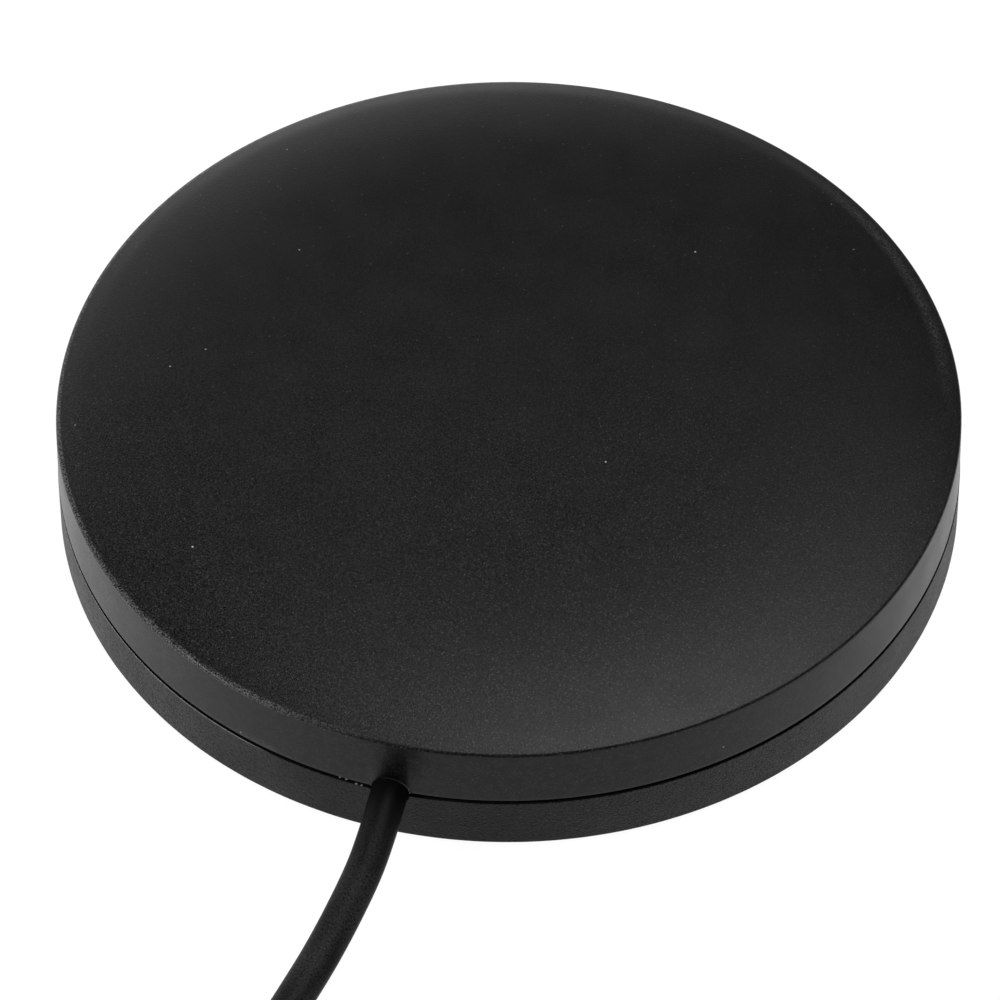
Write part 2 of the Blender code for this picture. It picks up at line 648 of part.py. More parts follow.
def make_board():
    """Circuit board with notches for the posts and the saddle, and holes for the pegs."""
    board = turned_part("antenna_board", rod_profile(BOARD_RADIUS, BOARD_BOTTOM, BOARD_TOP), HOUSING_STEPS,
                        (0.02, 0.12, 0.05), 0.45)
    cut_bottom = BOARD_BOTTOM - GAP
    cut_height = BOARD_THICKNESS + 2 * GAP
    cut_middle = cut_bottom + cut_height / 2
    notch_radius = POST_RADIUS + GAP
    for index, (x, y) in enumerate(POST_PLACES):
        end = turned_cutter(f"board_notch_end_{index + 1}",
                            rod_profile(notch_radius, cut_bottom, cut_bottom + cut_height), SMALL_STEPS)
        end.location = (x, y, 0.0)
        reach = BOARD_RADIUS + GAP - POST_CIRCLE
        notch = add_cutter(f"board_notch_{index + 1}", box_mesh(
            (reach, 2 * notch_radius, cut_height), (POST_CIRCLE + reach / 2, 0.0, cut_middle)))
        notch.rotation_euler.z = math.atan2(y, x)
        cut(board, end, notch)
    for index, (x, y) in enumerate(STANDOFF_PLACES):
        hole = turned_cutter(f"board_peg_hole_{index + 1}",
                             rod_profile(PEG_RADIUS + PEG_CLEARANCE, cut_bottom, cut_bottom + cut_height),
                             SMALL_STEPS)
        hole.location = (x, y, 0.0)
        cut(board, hole)
    front_reach = BOARD_RADIUS + BOARD_FRONT_Y + GAP
    cut(board, add_cutter("board_front", box_mesh(
        (SADDLE_WIDTH + 4 * GAP, front_reach, cut_height),
        (0.0, BOARD_FRONT_Y - front_reach / 2, cut_middle))))


def make_radiator():
    """Stamped radiator: a round plate with slots and two legs folded down to the board."""
    front_angle = math.asin(RADIATOR_FRONT_Y / RADIATOR_RADIUS)
    outline = arc(RADIATOR_RADIUS, front_angle, math.pi - front_angle, 30)
    slots = []
    for index in range(2):
        near_y = RADIATOR_SLOT_Y + index * RADIATOR_SLOT_PITCH
        far_y = near_y + RADIATOR_SLOT_WIDTH
        half_chord = math.sqrt(RADIATOR_RADIUS ** 2 - far_y ** 2)
        left, right = (RADIATOR_BRIDGE, RADIATOR_EDGE) if index else (RADIATOR_EDGE, RADIATOR_BRIDGE)
        slots.append(rectangle(left - half_chord, near_y, half_chord - right, far_y))
    plate = curve_part(flat_curve([outline, *slots], RADIATOR_THICKNESS), "radiator_plate",
                       (0.7, 0.68, 0.6), 0.3, 1.0)
    middle_height = BOARD_TOP + RADIATOR_HEIGHT + RADIATOR_THICKNESS / 2
    plate.location.z = middle_height
    foot_height = BOARD_TOP + GAP
    for name, x in (("feed_leg", 0.0), ("short_leg", SHORT_LEG_X)):
        leg_top = middle_height + RADIATOR_THICKNESS / 2
        leg = add_cutter(name, box_mesh(
            (LEG_WIDTH, RADIATOR_THICKNESS, leg_top - foot_height),
            (x, RADIATOR_FRONT_Y - RADIATOR_THICKNESS / 4, (leg_top + foot_height) / 2)))
        foot = add_cutter(f"{name}_foot", box_mesh(
            (LEG_WIDTH, LEG_FOOT, RADIATOR_THICKNESS),
            (x, RADIATOR_FRONT_Y - LEG_FOOT / 2, foot_height + RADIATOR_THICKNESS / 2)))
        join(plate, leg, foot)


def make_match_chips():
    """Two small matching components beside the feed."""
    for index, side in enumerate((-1, 1)):
        middle = (side * CHIP_X, CORE_END_Y + FEED_TRACK / 2, BOARD_TOP + GAP + CHIP_HEIGHT / 2)
        chip = add_part(f"match_chip_{index + 1}", box_mesh((CHIP_LENGTH, CHIP_WIDTH, CHIP_HEIGHT), middle),
                        (0.35, 0.33, 0.3), 0.5)
        bevel = chip.modifiers.new("Edges", 'BEVEL')
        bevel.width = CHIP_HEIGHT / 8
        bevel.segments = 1


def make_solder(name, radius, y, channel_radius, channel_start, channel_end):
    """A dome of solder with the channel that the lead's end lies in."""
    dome = [(radius * math.sin(a), radius * math.cos(a)) for a in
            (math.pi / 2 * i / 6 for i in range(7))] + [(0.0, 0.0)]
    dome[0] = (0.0, radius)
    dome[6] = (radius, 0.0)
    solder = turned_part(name, dome, SMALL_STEPS, (0.6, 0.6, 0.6), 0.25, 1.0)
    solder.location = (0.0, y, BOARD_TOP + GAP)
    channel = turned_cutter(f"{name}_channel", rod_profile(channel_radius, 0.0, channel_end - channel_start),
                            SMALL_STEPS)
    cut(solder, along_y(channel, 0.0, channel_start, CABLE_AXIS_HEIGHT))


def make_cable_end():
    """The stripped end of the lead on the board, and the solder that holds it."""
    layers = (
        ("cable_braid", DIELECTRIC_RADIUS + LAYER_AIR, BRAID_RADIUS, BRAID_END_Y,
         (0.6, 0.35, 0.2), 0.35, 1.0),
        ("cable_dielectric", CORE_RADIUS + LAYER_AIR, DIELECTRIC_RADIUS, DIELECTRIC_END_Y,
         (0.8, 0.8, 0.78), 0.4, 0.0),
    )
    for name, inner, outer, end_y, color, roughness, metallic in layers:
        profile = ring_profile(inner, outer, 0.0, end_y - BOARD_FRONT_Y)
        layer = turned_part(name, profile, SMALL_STEPS, color, roughness, metallic, closed=True)
        along_y(layer, 0.0, BOARD_FRONT_Y, CABLE_AXIS_HEIGHT)
    core = turned_part("cable_core", rod_profile(CORE_RADIUS, 0.0, CORE_END_Y - BOARD_FRONT_Y), SMALL_STEPS,
                       (0.72, 0.42, 0.28), 0.3, 1.0)
    along_y(core, 0.0, BOARD_FRONT_Y, CABLE_AXIS_HEIGHT)
    ground_y = (BOARD_FRONT_Y + BRAID_END_Y) / 2
    make_solder("ground_solder", GROUND_SOLDER_RADIUS, ground_y, BRAID_RADIUS + LAYER_AIR,
                ground_y - 2 * GROUND_SOLDER_RADIUS, ground_y + 2 * GROUND_SOLDER_RADIUS)
    make_solder("feed_solder", FEED_SOLDER_RADIUS, CORE_END_Y - LAYER_AIR, CORE_RADIUS + LAYER_AIR,
                DIELECTRIC_END_Y, CORE_END_Y + LAYER_AIR)


def make_cable_clamp():
    """Moulded bar over the lead, with its two screws."""
    size = (CLAMP_WIDTH, CLAMP_DEPTH, CLAMP_THICKNESS)
    centre = (0.0, CLAMP_Y, (CLAMP_BOTTOM + CLAMP_TOP) / 2)
    clamp = add_part("cable_clamp", box_mesh(size, centre), BLACK, 0.6)
    bevel = clamp.modifiers.new("Edges", 'BEVEL')
    bevel.width = CLAMP_EDGE_ROUND
    bevel.segments = 2
    reach = CLAMP_DEPTH / 2 + GAP
    cut(clamp, cable_hole_cutter("clamp_groove", CLAMP_Y - reach, CLAMP_Y + reach, CABLE_RADIUS + CLAMP_AIR))
    head = (CLAMP_SCREW_HEAD_RADIUS, CLAMP_SCREW_HEAD_HEIGHT)
    for index, side in enumerate((-1, 1)):
        x = side * CLAMP_SCREW_X
        hole = turned_cutter(f"clamp_hole_{index + 1}", rod_profile(
            CLAMP_SCREW_SHANK_RADIUS + SCREW_CLEARANCE, CLAMP_BOTTOM - GAP, CLAMP_TOP + GAP), SMALL_STEPS)
        hole.location = (x, CLAMP_Y, 0.0)
        cut(clamp, hole)
        make_screw(f"clamp_screw_{index + 1}", x, CLAMP_Y, CLAMP_TOP + GAP / 2, False,
                   head, CLAMP_SCREW_SHANK_RADIUS, CLAMP_SCREW_LENGTH)


def plug_frame():
    """Empty with +Z along the plug's axis and +Y up, at the rear end of the ferrule."""
    empty = bpy.data.objects.new("plug_axis", None)
    PARTS.objects.link(empty)
    upward = Vector((0.0, 0.0, 1.0))
    sideways = upward.cross(PLUG_FORWARD)
    rotation = Matrix((sideways, upward, PLUG_FORWARD)).transposed().to_4x4()
    empty.matrix_world = Matrix.Translation(PLUG_REAR) @ rotation
    return empty


def make_cables():
    """The lead in the open: from the board to the coil, and from the coil to the plug."""
    start = Vector((0.0, JACKET_END_Y, CABLE_AXIS_HEIGHT))
    lead = [start] + [EXIT + Vector(point) * MM for point in LEAD_ROUTE]
    tube_part("antenna_cable", lead, CABLE_RADIUS, BLACK, 0.45)
    tail = [EXIT + Vector(point) * MM for point in TAIL_ROUTE]
    tail += [PLUG_REAR + PLUG_FORWARD * along for along in (-SLEEVE_REAR, -SLEEVE_REAR / 2, STEM_START - GAP)]
    tube_part("cable_tail", tail, CABLE_RADIUS, BLACK, 0.45)


def make_coil():
    """The wound lead as one ring, with a seat for its tie."""
    top = FLOOR_AIR + COIL_HEIGHT
    section = rounded(ring_profile(COIL_INNER_RADIUS, COIL_OUTER_RADIUS, FLOOR_AIR, top),
                      {0: COIL_ROUND, 1: COIL_ROUND, 2: COIL_ROUND, 3: COIL_ROUND})
    coil = turned_part("cable_coil", section, COIL_STEPS, BLACK, 0.45, closed=True)
    coil.location = COIL_CENTRE

    def band(outer_by, inner_by, width):
        """A loop round the coil's section: how far its outside and inside lie in from the coil's surface."""
        outlines = []
        for inset in (outer_by, inner_by):
            outlines.append(rounded_rectangle(COIL_INNER_RADIUS + inset, FLOOR_AIR + inset,
                                              COIL_OUTER_RADIUS - inset, top - inset,
                                              max(COIL_ROUND - inset, COIL_ROUND / 4)))
        loop = flat_curve(outlines, width)
        turn_up = Matrix.Rotation(math.pi / 2, 4, 'X')
        loop.matrix_world = Matrix.Translation(COIL_CENTRE) @ Matrix.Rotation(TIE_ANGLE, 4, 'Z') @ turn_up
        return loop

    seat_width = TIE_HEAD_WIDTH + 2 * GAP
    cut(coil, curve_cutter(band(-2 * GAP, TIE_THICKNESS + GAP, seat_width), "tie_seat"))
    tie = curve_part(band(0.0, TIE_THICKNESS, TIE_WIDTH), "cable_tie", BLACK, 0.4)
    head_start = COIL_OUTER_RADIUS - TIE_THICKNESS / 2
    head = add_cutter("tie_head", box_mesh(
        (TIE_HEAD_REACH, TIE_HEAD_WIDTH, TIE_HEAD_HEIGHT),
        (head_start + TIE_HEAD_REACH / 2, 0.0, FLOOR_AIR + COIL_HEIGHT / 2)))
    head.location = COIL_CENTRE
    head.rotation_euler.z = TIE_ANGLE
    join(tie, head)


def make_plug():
    """Screw-on coaxial plug: crimped body, captive hexagon nut, insulator, pin, ring, gasket and sleeve."""
    axis = plug_frame()

    def on_axis(obj):
        obj.parent = axis
        return obj

    body = on_axis(turned_part("connector_body", rounded([
        (0.0, BODY_END), (FRONT_SLEEVE_RADIUS, BODY_END), (FRONT_SLEEVE_RADIUS, FRONT_SLEEVE_START),
        (NECK_RADIUS, FRONT_SLEEVE_START), (NECK_RADIUS, NECK_START), (SHOULDER_RADIUS, NECK_START),
        (SHOULDER_RADIUS, SHOULDER_START), (STEM_RADIUS, SHOULDER_START), (STEM_RADIUS, STEM_START),
        (0.0, STEM_START)], {5: GAP, 6: GAP}), BORE_STEPS, GOLD, 0.25, 1.0))
    cut(body, on_axis(turned_cutter("body_bore", rod_profile(
        INSULATOR_RADIUS + SEAT_AIR, INSULATOR_START - SEAT_AIR, BODY_END + GAP), BORE_STEPS)))
    cut(body, on_axis(turned_cutter("body_ring_groove", ring_profile(
        NECK_RADIUS - SNAP_RING_DEPTH, NECK_RADIUS + GAP, SNAP_START - SEAT_AIR,
        SNAP_START + SNAP_RING_WIDTH + SEAT_AIR), BORE_STEPS, closed=True)))

    on_axis(turned_part("connector_insulator", ring_profile(
        PIN_RADIUS + SEAT_AIR, INSULATOR_RADIUS, INSULATOR_START, INSULATOR_END), BORE_STEPS,
        (0.85, 0.85, 0.83), 0.45, closed=True))
    pin_end = INSULATOR_END + PIN_REACH
    on_axis(turned_part("centre_pin", [
        (0.0, pin_end), (PIN_RADIUS / 3, pin_end), (PIN_RADIUS, pin_end - PIN_POINT),
        (PIN_RADIUS, PIN_START), (0.0, PIN_START)], SMALL_STEPS, GOLD, 0.2, 1.0))

    ring_inner = NECK_RADIUS - SNAP_RING_DEPTH + SEAT_AIR
    ring_outer = NECK_RADIUS + NUT_RUN_AIR + SNAP_RING_DEPTH
    ring = on_axis(turned_part("snap_ring", ring_profile(
        ring_inner, ring_outer, SNAP_START, SNAP_START + SNAP_RING_WIDTH), BORE_STEPS, STEEL, 0.3, 1.0,
        closed=True))
    cut(ring, on_axis(add_cutter("ring_mouth", box_mesh(
        (2 * ring_outer * math.sin(SNAP_RING_MOUTH / 2), 2 * ring_outer, 4 * SNAP_RING_WIDTH),
        (0.0, ring_outer, SNAP_START)))))

    on_axis(turned_part("gasket", ring_profile(
        FRONT_SLEEVE_RADIUS + NUT_RUN_AIR, FRONT_SLEEVE_RADIUS + NUT_RUN_AIR + GASKET_WALL,
        FRONT_SLEEVE_START + GAP, FRONT_SLEEVE_START + GAP + GASKET_LENGTH), BORE_STEPS,
        (0.45, 0.05, 0.03), 0.6, closed=True))

    on_axis(turned_part("crimp_ferrule", ring_profile(
        FERRULE_BORE_RADIUS, FERRULE_RADIUS, 0.0, FERRULE_LENGTH), BORE_STEPS, GOLD, 0.3, 1.0, closed=True))

    sleeve_inner = FERRULE_RADIUS + SLEEVE_AIR
    cable_inner = CABLE_RADIUS + SLEEVE_AIR
    taper = FERRULE_RADIUS - CABLE_RADIUS
    on_axis(turned_part("heat_shrink", [
        (sleeve_inner, SLEEVE_FRONT), (sleeve_inner + SLEEVE_WALL, SLEEVE_FRONT),
        (sleeve_inner + SLEEVE_WALL, -GAP), (cable_inner + SLEEVE_WALL, -GAP - taper),
        (cable_inner + SLEEVE_WALL, -SLEEVE_REAR), (cable_inner, -SLEEVE_REAR),
        (cable_inner, -GAP - taper), (sleeve_inner, -GAP)], BORE_STEPS, BLACK, 0.5, closed=True))

    make_coupling_nut(on_axis)


def make_coupling_nut(on_axis):
    """Hexagon nut with chamfered ends, a bore that runs on the neck and a wider threaded mouth."""
    bm = bmesh.new()
    corner_radius = NUT_ACROSS_FLATS / 2 / math.cos(math.pi / 6)
    bmesh.ops.create_cone(bm, cap_ends=True, segments=6, radius1=corner_radius, radius2=corner_radius,
                          depth=NUT_LENGTH)
    flats_up = Matrix.Rotation(math.pi / 6, 3, 'Z')
    bmesh.ops.rotate(bm, matrix=flats_up, verts=bm.verts)
    bmesh.ops.translate(bm, vec=(0.0, 0.0, (NUT_START + NUT_END) / 2), verts=bm.verts)
    mesh = bpy.data.meshes.new("hexagon")
    bm.to_mesh(mesh)
    bm.free()
    nut = on_axis(add_part("coupling_nut", mesh, GOLD, 0.25, 1.0))
    chamfer_radius = corner_radius - NUT_CHAMFER
    envelope = on_axis(turned_cutter("nut_chamfers", [
        (0.0, NUT_END), (chamfer_radius, NUT_END), (corner_radius + GAP, NUT_END - NUT_CHAMFER),
        (corner_radius + GAP, NUT_START + NUT_CHAMFER), (chamfer_radius, NUT_START), (0.0, NUT_START)],
        BORE_STEPS))
    use_boolean(nut, envelope, 'INTERSECT')
    neck_bore = NECK_RADIUS + NUT_RUN_AIR
    groove_start = SNAP_START - SEAT_AIR
    groove_end = SNAP_START + SNAP_RING_WIDTH + SEAT_AIR
    groove_radius = NECK_RADIUS + NUT_RUN_AIR + SNAP_RING_DEPTH + SEAT_AIR
    cut(nut, on_axis(turned_cutter("nut_bore", [
        (0.0, NUT_END + GAP), (NUT_THREAD_RADIUS, NUT_END + GAP), (NUT_THREAD_RADIUS, NUT_STEP),
        (neck_bore, NUT_STEP), (neck_bore, groove_end), (groove_radius, groove_end),
        (groove_radius, groove_start), (neck_bore, groove_start), (neck_bore, NUT_START - GAP),
        (0.0, NUT_START - GAP)], BORE_STEPS)))


def bake_modifiers():
    """Turn every piece's modifiers into its mesh, and shade round faces smooth."""
    bpy.context.view_layer.update()
    graph = bpy.context.evaluated_depsgraph_get()
    finished = {obj: bpy.data.meshes.new_from_object(obj.evaluated_get(graph))
                for obj in PARTS.objects if obj.type == 'MESH'}
    for obj, mesh in finished.items():
        weld(mesh)
        obj.modifiers.clear()
        obj.data = mesh
        mesh.shade_smooth()
        mesh.set_sharp_from_angle(angle=math.radians(35))


make_top_cover()
make_base_plate()
make_pad_and_liner()
make_cover_screws()
make_board()
make_radiator()
make_match_chips()
make_cable_end()
make_cable_clamp()
make_cables()
make_coil()
make_plug()
bake_modifiers()
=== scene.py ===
"""Looks of a low round cellular antenna: its housing, coaxial lead and screw-on plug, on a white sweep."""

import math

import bpy
from mathutils import Matrix, Vector, noise


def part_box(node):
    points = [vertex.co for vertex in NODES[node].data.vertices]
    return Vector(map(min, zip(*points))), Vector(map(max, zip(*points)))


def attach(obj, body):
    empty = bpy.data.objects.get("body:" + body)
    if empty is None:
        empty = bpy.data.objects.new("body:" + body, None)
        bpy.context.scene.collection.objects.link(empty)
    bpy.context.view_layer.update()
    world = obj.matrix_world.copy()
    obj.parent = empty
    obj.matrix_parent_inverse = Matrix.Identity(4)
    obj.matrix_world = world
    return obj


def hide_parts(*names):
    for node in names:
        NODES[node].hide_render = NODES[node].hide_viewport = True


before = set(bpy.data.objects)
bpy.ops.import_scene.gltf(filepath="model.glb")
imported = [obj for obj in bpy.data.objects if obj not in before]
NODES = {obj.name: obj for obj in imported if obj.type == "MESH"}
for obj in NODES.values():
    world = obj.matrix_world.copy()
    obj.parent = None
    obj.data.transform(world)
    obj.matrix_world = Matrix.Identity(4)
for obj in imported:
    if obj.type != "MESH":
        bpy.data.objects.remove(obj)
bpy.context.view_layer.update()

MM = 0.001
TAU = 2 * math.pi

# Housing, repeated from the part's source
RIM_RADIUS = 35.5 * MM
RIM_HEIGHT = 10.5 * MM
CROWN_RISE = 1.9 * MM
CROWN_FLAT_RADIUS = 13.0 * MM
CROWN_POWER = 3.0
ROLL_START = 33.4 * MM
ROLL_END = 34.4 * MM
ROLL_SLOPE = 0.06
COVER_FOOT = 5.35 * MM
COVER_FOOT_RADIUS = 35.78 * MM
COVER_INNER_RADIUS = 33.88 * MM
BASE_TOP = 5.05 * MM
BASE_TOP_RADIUS = 35.83 * MM
BASE_FOOT_RADIUS = 36.01 * MM
BASE_FOOT_HEIGHT = 0.3 * MM
TONGUE_OUTER_RADIUS = 33.68 * MM
RECESS_RADIUS = 31.53 * MM
RECESS_CEILING = 1.22 * MM

# Edges that the eye sees, finer than in the source
RIM_ROUND = 0.3 * MM
SEAM_ROUND = 0.045 * MM
SEAM_EASE = 0.025 * MM
FOOT_ROUND = 0.3 * MM
SEAM_PROFILE_STEPS = 5
CROWN_ROWS = 80
CROWN_CROWDING = 1.3
CROWN_EYE_RADIUS = 0.02 * MM

# Where the housing's mesh gives way to the lead's hole, and the burr round its lip
HOLE_EASE = 0.6 * MM
HOLE_COLUMNS = 20
HOLE_COLUMN_REACH = 2.0 * MM
LIP_START = 6
LIP_SPAN = 168
LIP_STEPS = 40

# Moulded lumps of the base's wall, which only go inwards: their sizes per metre, and depth
LUMPS = 700.0
SMALL_LUMPS = 1500.0
LUMP_DEPTH = 0.006 * MM

# Painted highlights on the hole's burr, the rim, the top's right edge and the base's edge, a wear streak and
# lint, placed as the photograph shows them; of a pair, the mark fades between the two
LIP_HIGHLIGHT_RADII = (1.53 * MM, 1.58 * MM)
LIP_HIGHLIGHT_X = (-0.7 * MM, -0.2 * MM)
RIM_HIGHLIGHT_RADII = (35.08 * MM, 35.2 * MM)
RIM_HIGHLIGHT_X = (-11.0 * MM, -1.0 * MM)
SHOULDER_HIGHLIGHT_RADII = (33.7 * MM, 34.3 * MM)
SHOULDER_HIGHLIGHT_EDGE = (34.5 * MM, 35.0 * MM)
SHOULDER_HIGHLIGHT_X = (12.0 * MM, 24.0 * MM)
SHOULDER_HIGHLIGHT_Y = (4.0 * MM, 16.0 * MM)
RUBBED_STREAK_X = -10.5 * MM
RUBBED_STREAK_HALF = (1.0 * MM, 2.2 * MM)
EDGE_HIGHLIGHT_X = (-12.0 * MM, -9.5 * MM)
LINT_X = -3.6 * MM
LINT_HALF = 1.4 * MM

# Lead, coil, tie and plug, repeated from the part's source
CABLE_RADIUS = 1.4 * MM
CABLE_AXIS_HEIGHT = 5.2 * MM
CABLE_HOLE_RADIUS = 1.46 * MM
HOLE_LIP_RADIUS = 0.06 * MM
JACKET_END_Y = -25.88 * MM
EXIT = Vector((0.0, -COVER_FOOT_RADIUS, 0.0))
LEAD_ROUTE = (
    (0.0, 2.8, 5.2), (0.0, -0.8, 5.2), (0.0, -3.4, 4.85), (-0.25, -6.4, 3.95), (-0.9, -9.8, 2.9),
    (-1.75, -13.4, 1.95), (-2.7, -17.2, 1.5), (-3.9, -22.5, 1.45), (-5.3, -28.6, 1.45), (-7.2, -35.7, 1.45),
)
ROUTE_STEPS = 12
JACKET_PATTERN = 4.0 * MM
TAIL_ROUTE = ((-0.23, -81.63, 7.9), (3.14, -85.87, 6.6), (7.63, -89.36, 5.1), (13.29, -91.08, 4.2))
COIL_CENTRE = EXIT + Vector((16.9 * MM, -55.5 * MM, 0.0))
COIL_INNER_RADIUS = 11.9 * MM
COIL_OUTER_RADIUS = 29.5 * MM
COIL_BOTTOM = 0.05 * MM
COIL_TOP = 10.35 * MM
COIL_MIDDLE_RADIUS = (COIL_INNER_RADIUS + COIL_OUTER_RADIUS) / 2
COIL_MIDDLE_HEIGHT = (COIL_BOTTOM + COIL_TOP) / 2
TIE_ANGLE = math.radians(50.0)
TIE_WIDTH = 3.6 * MM
TIE_THICKNESS = 0.7 * MM
PLUG_REAR = EXIT + Vector((27.55 * MM, -90.1 * MM, 4.05 * MM))
PLUG_HEADING = math.radians(6.0)
PLUG_FORWARD = Vector((math.cos(PLUG_HEADING), math.sin(PLUG_HEADING), 0.0))
UP = Vector((0.0, 0.0, 1.0))
PLUG_SIDE = UP.cross(PLUG_FORWARD)
TIE_HEAD_REACH = 3.4 * MM
TIE_HEAD_WIDTH = 5.0 * MM
TIE_HEAD_HEIGHT = 4.4 * MM
TIE_RIB_PITCH = 0.95 * MM
COIL_ROUND = 1.4 * MM

# Plug: places along its axis from the ferrule's rear end, and radii
FERRULE_LENGTH = 7.0 * MM
FERRULE_RADIUS = 1.95 * MM
FERRULE_BORE_RADIUS = 1.5 * MM
CRIMP_START = 1.0 * MM
CRIMP_END = 5.6 * MM
CRIMP_HALF_FLAT = 1.8 * MM
STEM_START = 2.5 * MM
STEM_RADIUS = 1.25 * MM
SHOULDER_START = 7.3 * MM
SHOULDER_RADIUS = 3.0 * MM
NECK_START = 9.4 * MM
NECK_RADIUS = 2.6 * MM
SNAP_GROOVE = (10.85 * MM, 11.45 * MM)
SNAP_GROOVE_RADIUS = 2.35 * MM
NUT_GROOVE_RADIUS = 3.0 * MM
FRONT_START = 13.3 * MM
FRONT_RADIUS = 2.3 * MM
BODY_END = 15.9 * MM
BODY_BORE_RADIUS = 2.1 * MM
BODY_BORE_END = 10.4 * MM
INSULATOR_START = 10.45 * MM
INSULATOR_END = 15.85 * MM
INSULATOR_RADIUS = 2.05 * MM
INSULATOR_BORE_RADIUS = 0.51 * MM
PIN_START = 11.05 * MM
PIN_END = 17.75 * MM
PIN_RADIUS = 0.46 * MM
GASKET_SPAN = (13.6 * MM, 14.3 * MM)
GASKET_RADII = (2.4 * MM, 2.95 * MM)
NUT_START = 9.7 * MM
NUT_END = 18.3 * MM
NUT_HALF_FLAT = 4.0 * MM
NUT_CORNER_RADIUS = 4.54 * MM
NUT_CHAMFER = 0.5 * MM
NUT_BORE_RADIUS = 2.7 * MM
NUT_STEP = 13.0 * MM
NUT_RELIEF_END = 14.5 * MM
NUT_RELIEF_RADIUS = 3.15 * MM
THREAD_PITCH = 0.7 * MM
THREAD_STEPS = 10
THREAD_CREST_RADIUS = 2.86 * MM
THREAD_ROOT_RADIUS = 3.14 * MM
SLEEVE_START = -8.0 * MM
SLEEVE_END = 6.4 * MM
SLEEVE_WALL = 0.45 * MM
SLEEVE_AIR = 0.1 * MM

# Winding of the coil: turns in each layer, alternately outside to inside and back
LAYER_TURNS = (6, 5, 6, 5)
WIDE_LAYER_RADIUS = 27.87 * MM
TURN_PITCH = 2.85 * MM
LAYER_HEIGHTS = (1.45 * MM, 3.9 * MM, 6.35 * MM, 8.8 * MM)
COIL_START = math.radians(166.5)
COIL_END = math.radians(211.0)
POINTS_PER_TURN = 60

# Where in a turn the lead crosses to the next, how far turns stray, and how the tie draws them in
CROSSING_START = 0.78
CROSSING_SPAN = 0.2
TURN_WANDER = 0.14 * MM
TIE_DRAW = 0.3 * MM
TIE_HOLD = 3.2 * MM
TIE_RELEASE = 10.0 * MM

# Camera, fitted to the photograph's outlines
CAMERA_ELEVATION = math.radians(49.513)
CAMERA_AZIMUTH = math.radians(14.6)
CAMERA_ROLL = math.radians(-0.465)
CAMERA_DISTANCE = 0.32104
CAMERA_AIM = Vector((-0.2141 * MM, -2.1038 * MM, 0.0))
CAMERA_LENS = 144.0


# Camera

def new_object(name, data):
    thing = bpy.data.objects.new(name, data)
    bpy.context.scene.collection.objects.link(thing)
    return thing


def make_camera():
    """Camera at the photograph's angle, over the lead's side of the housing."""
    turned = Matrix.Rotation(CAMERA_AZIMUTH, 3, 'Z')
    right = turned @ Vector((1.0, 0.0, 0.0))
    back = turned @ Vector((0.0, -math.cos(CAMERA_ELEVATION), math.sin(CAMERA_ELEVATION)))
    up = back.cross(right)
    rolled_right = math.cos(CAMERA_ROLL) * right + math.sin(CAMERA_ROLL) * up
    rolled_up = back.cross(rolled_right)
    data = bpy.data.cameras.new("view")
    data.lens = CAMERA_LENS
    data.sensor_width = 36.0
    data.clip_start = 0.01
    data.clip_end = 20.0
    camera = new_object("view", data)
    camera.matrix_world = Matrix.Translation(CAMERA_AIM + CAMERA_DISTANCE * back) @ Matrix(
        (rolled_right, rolled_up, back)).transposed().to_4x4()
    bpy.context.scene.camera = camera


# Node trees

class Tree:
    """A node tree, built call by call; an input takes a value or another node's output."""

    def __init__(self, tree, coords):
        self.tree = tree
        self.tree.nodes.clear()
        self.coords = self.add('TexCoord').outputs[coords]

    def add(self, kind, inputs=None, **settings):
        node = self.tree.nodes.new('ShaderNode' + kind)
        for name, value in settings.items():
            setattr(node, name, value)
        for name, value in (inputs or {}).items():
            self.feed(node.inputs[name], value)
        return node

    def feed(self, socket, value):
        """Link or set an input: in a colour a plain number is a grey, and None leaves an input as it is."""
        if isinstance(value, bpy.types.NodeSocket):
            self.tree.links.new(value, socket)
        elif isinstance(socket, bpy.types.NodeSocketColor):
            red, green, blue = (value, value, value) if isinstance(value, float) else value
            socket.default_value = (red, green, blue, 1.0)
        elif value is not None:
            socket.default_value = value

    def math(self, operation, a, b=None, clamp=False):
        node = self.add('Math', {0: a, 1: b}, operation=operation, use_clamp=clamp)
        return node.outputs['Value']

    def times(self, first, *others):
        """The product of several values."""
        for other in others:
            first = self.math('MULTIPLY', first, other)
        return first

    def above(self, value, limit):
        return self.math('GREATER_THAN', value, limit)

    def below(self, value, limit):
        return self.math('LESS_THAN', value, limit)

    def apart(self, value, middle):
        """How far a value is from a middle, to either side."""
        return self.math('ABSOLUTE', self.math('SUBTRACT', value, middle))

    def radius(self, across, along):
        """Distance from an axis, from two coordinates square to it."""
        return self.math('SQRT', self.math('ADD', self.times(across, across), self.times(along, along)))

    def fit(self, value, low, high, to_low=0.0, to_high=1.0, kind='LINEAR'):
        """A value's range carried over to another range, and held at its ends."""
        ranges = {'Value': value, 'From Min': low, 'From Max': high, 'To Min': to_low, 'To Max': to_high}
        return self.add('MapRange', ranges, interpolation_type=kind).outputs['Result']

    def fall(self, value, full, gone):
        """One up to a value, and fading to nothing at another."""
        return self.fit(value, full, gone, 1.0, 0.0)


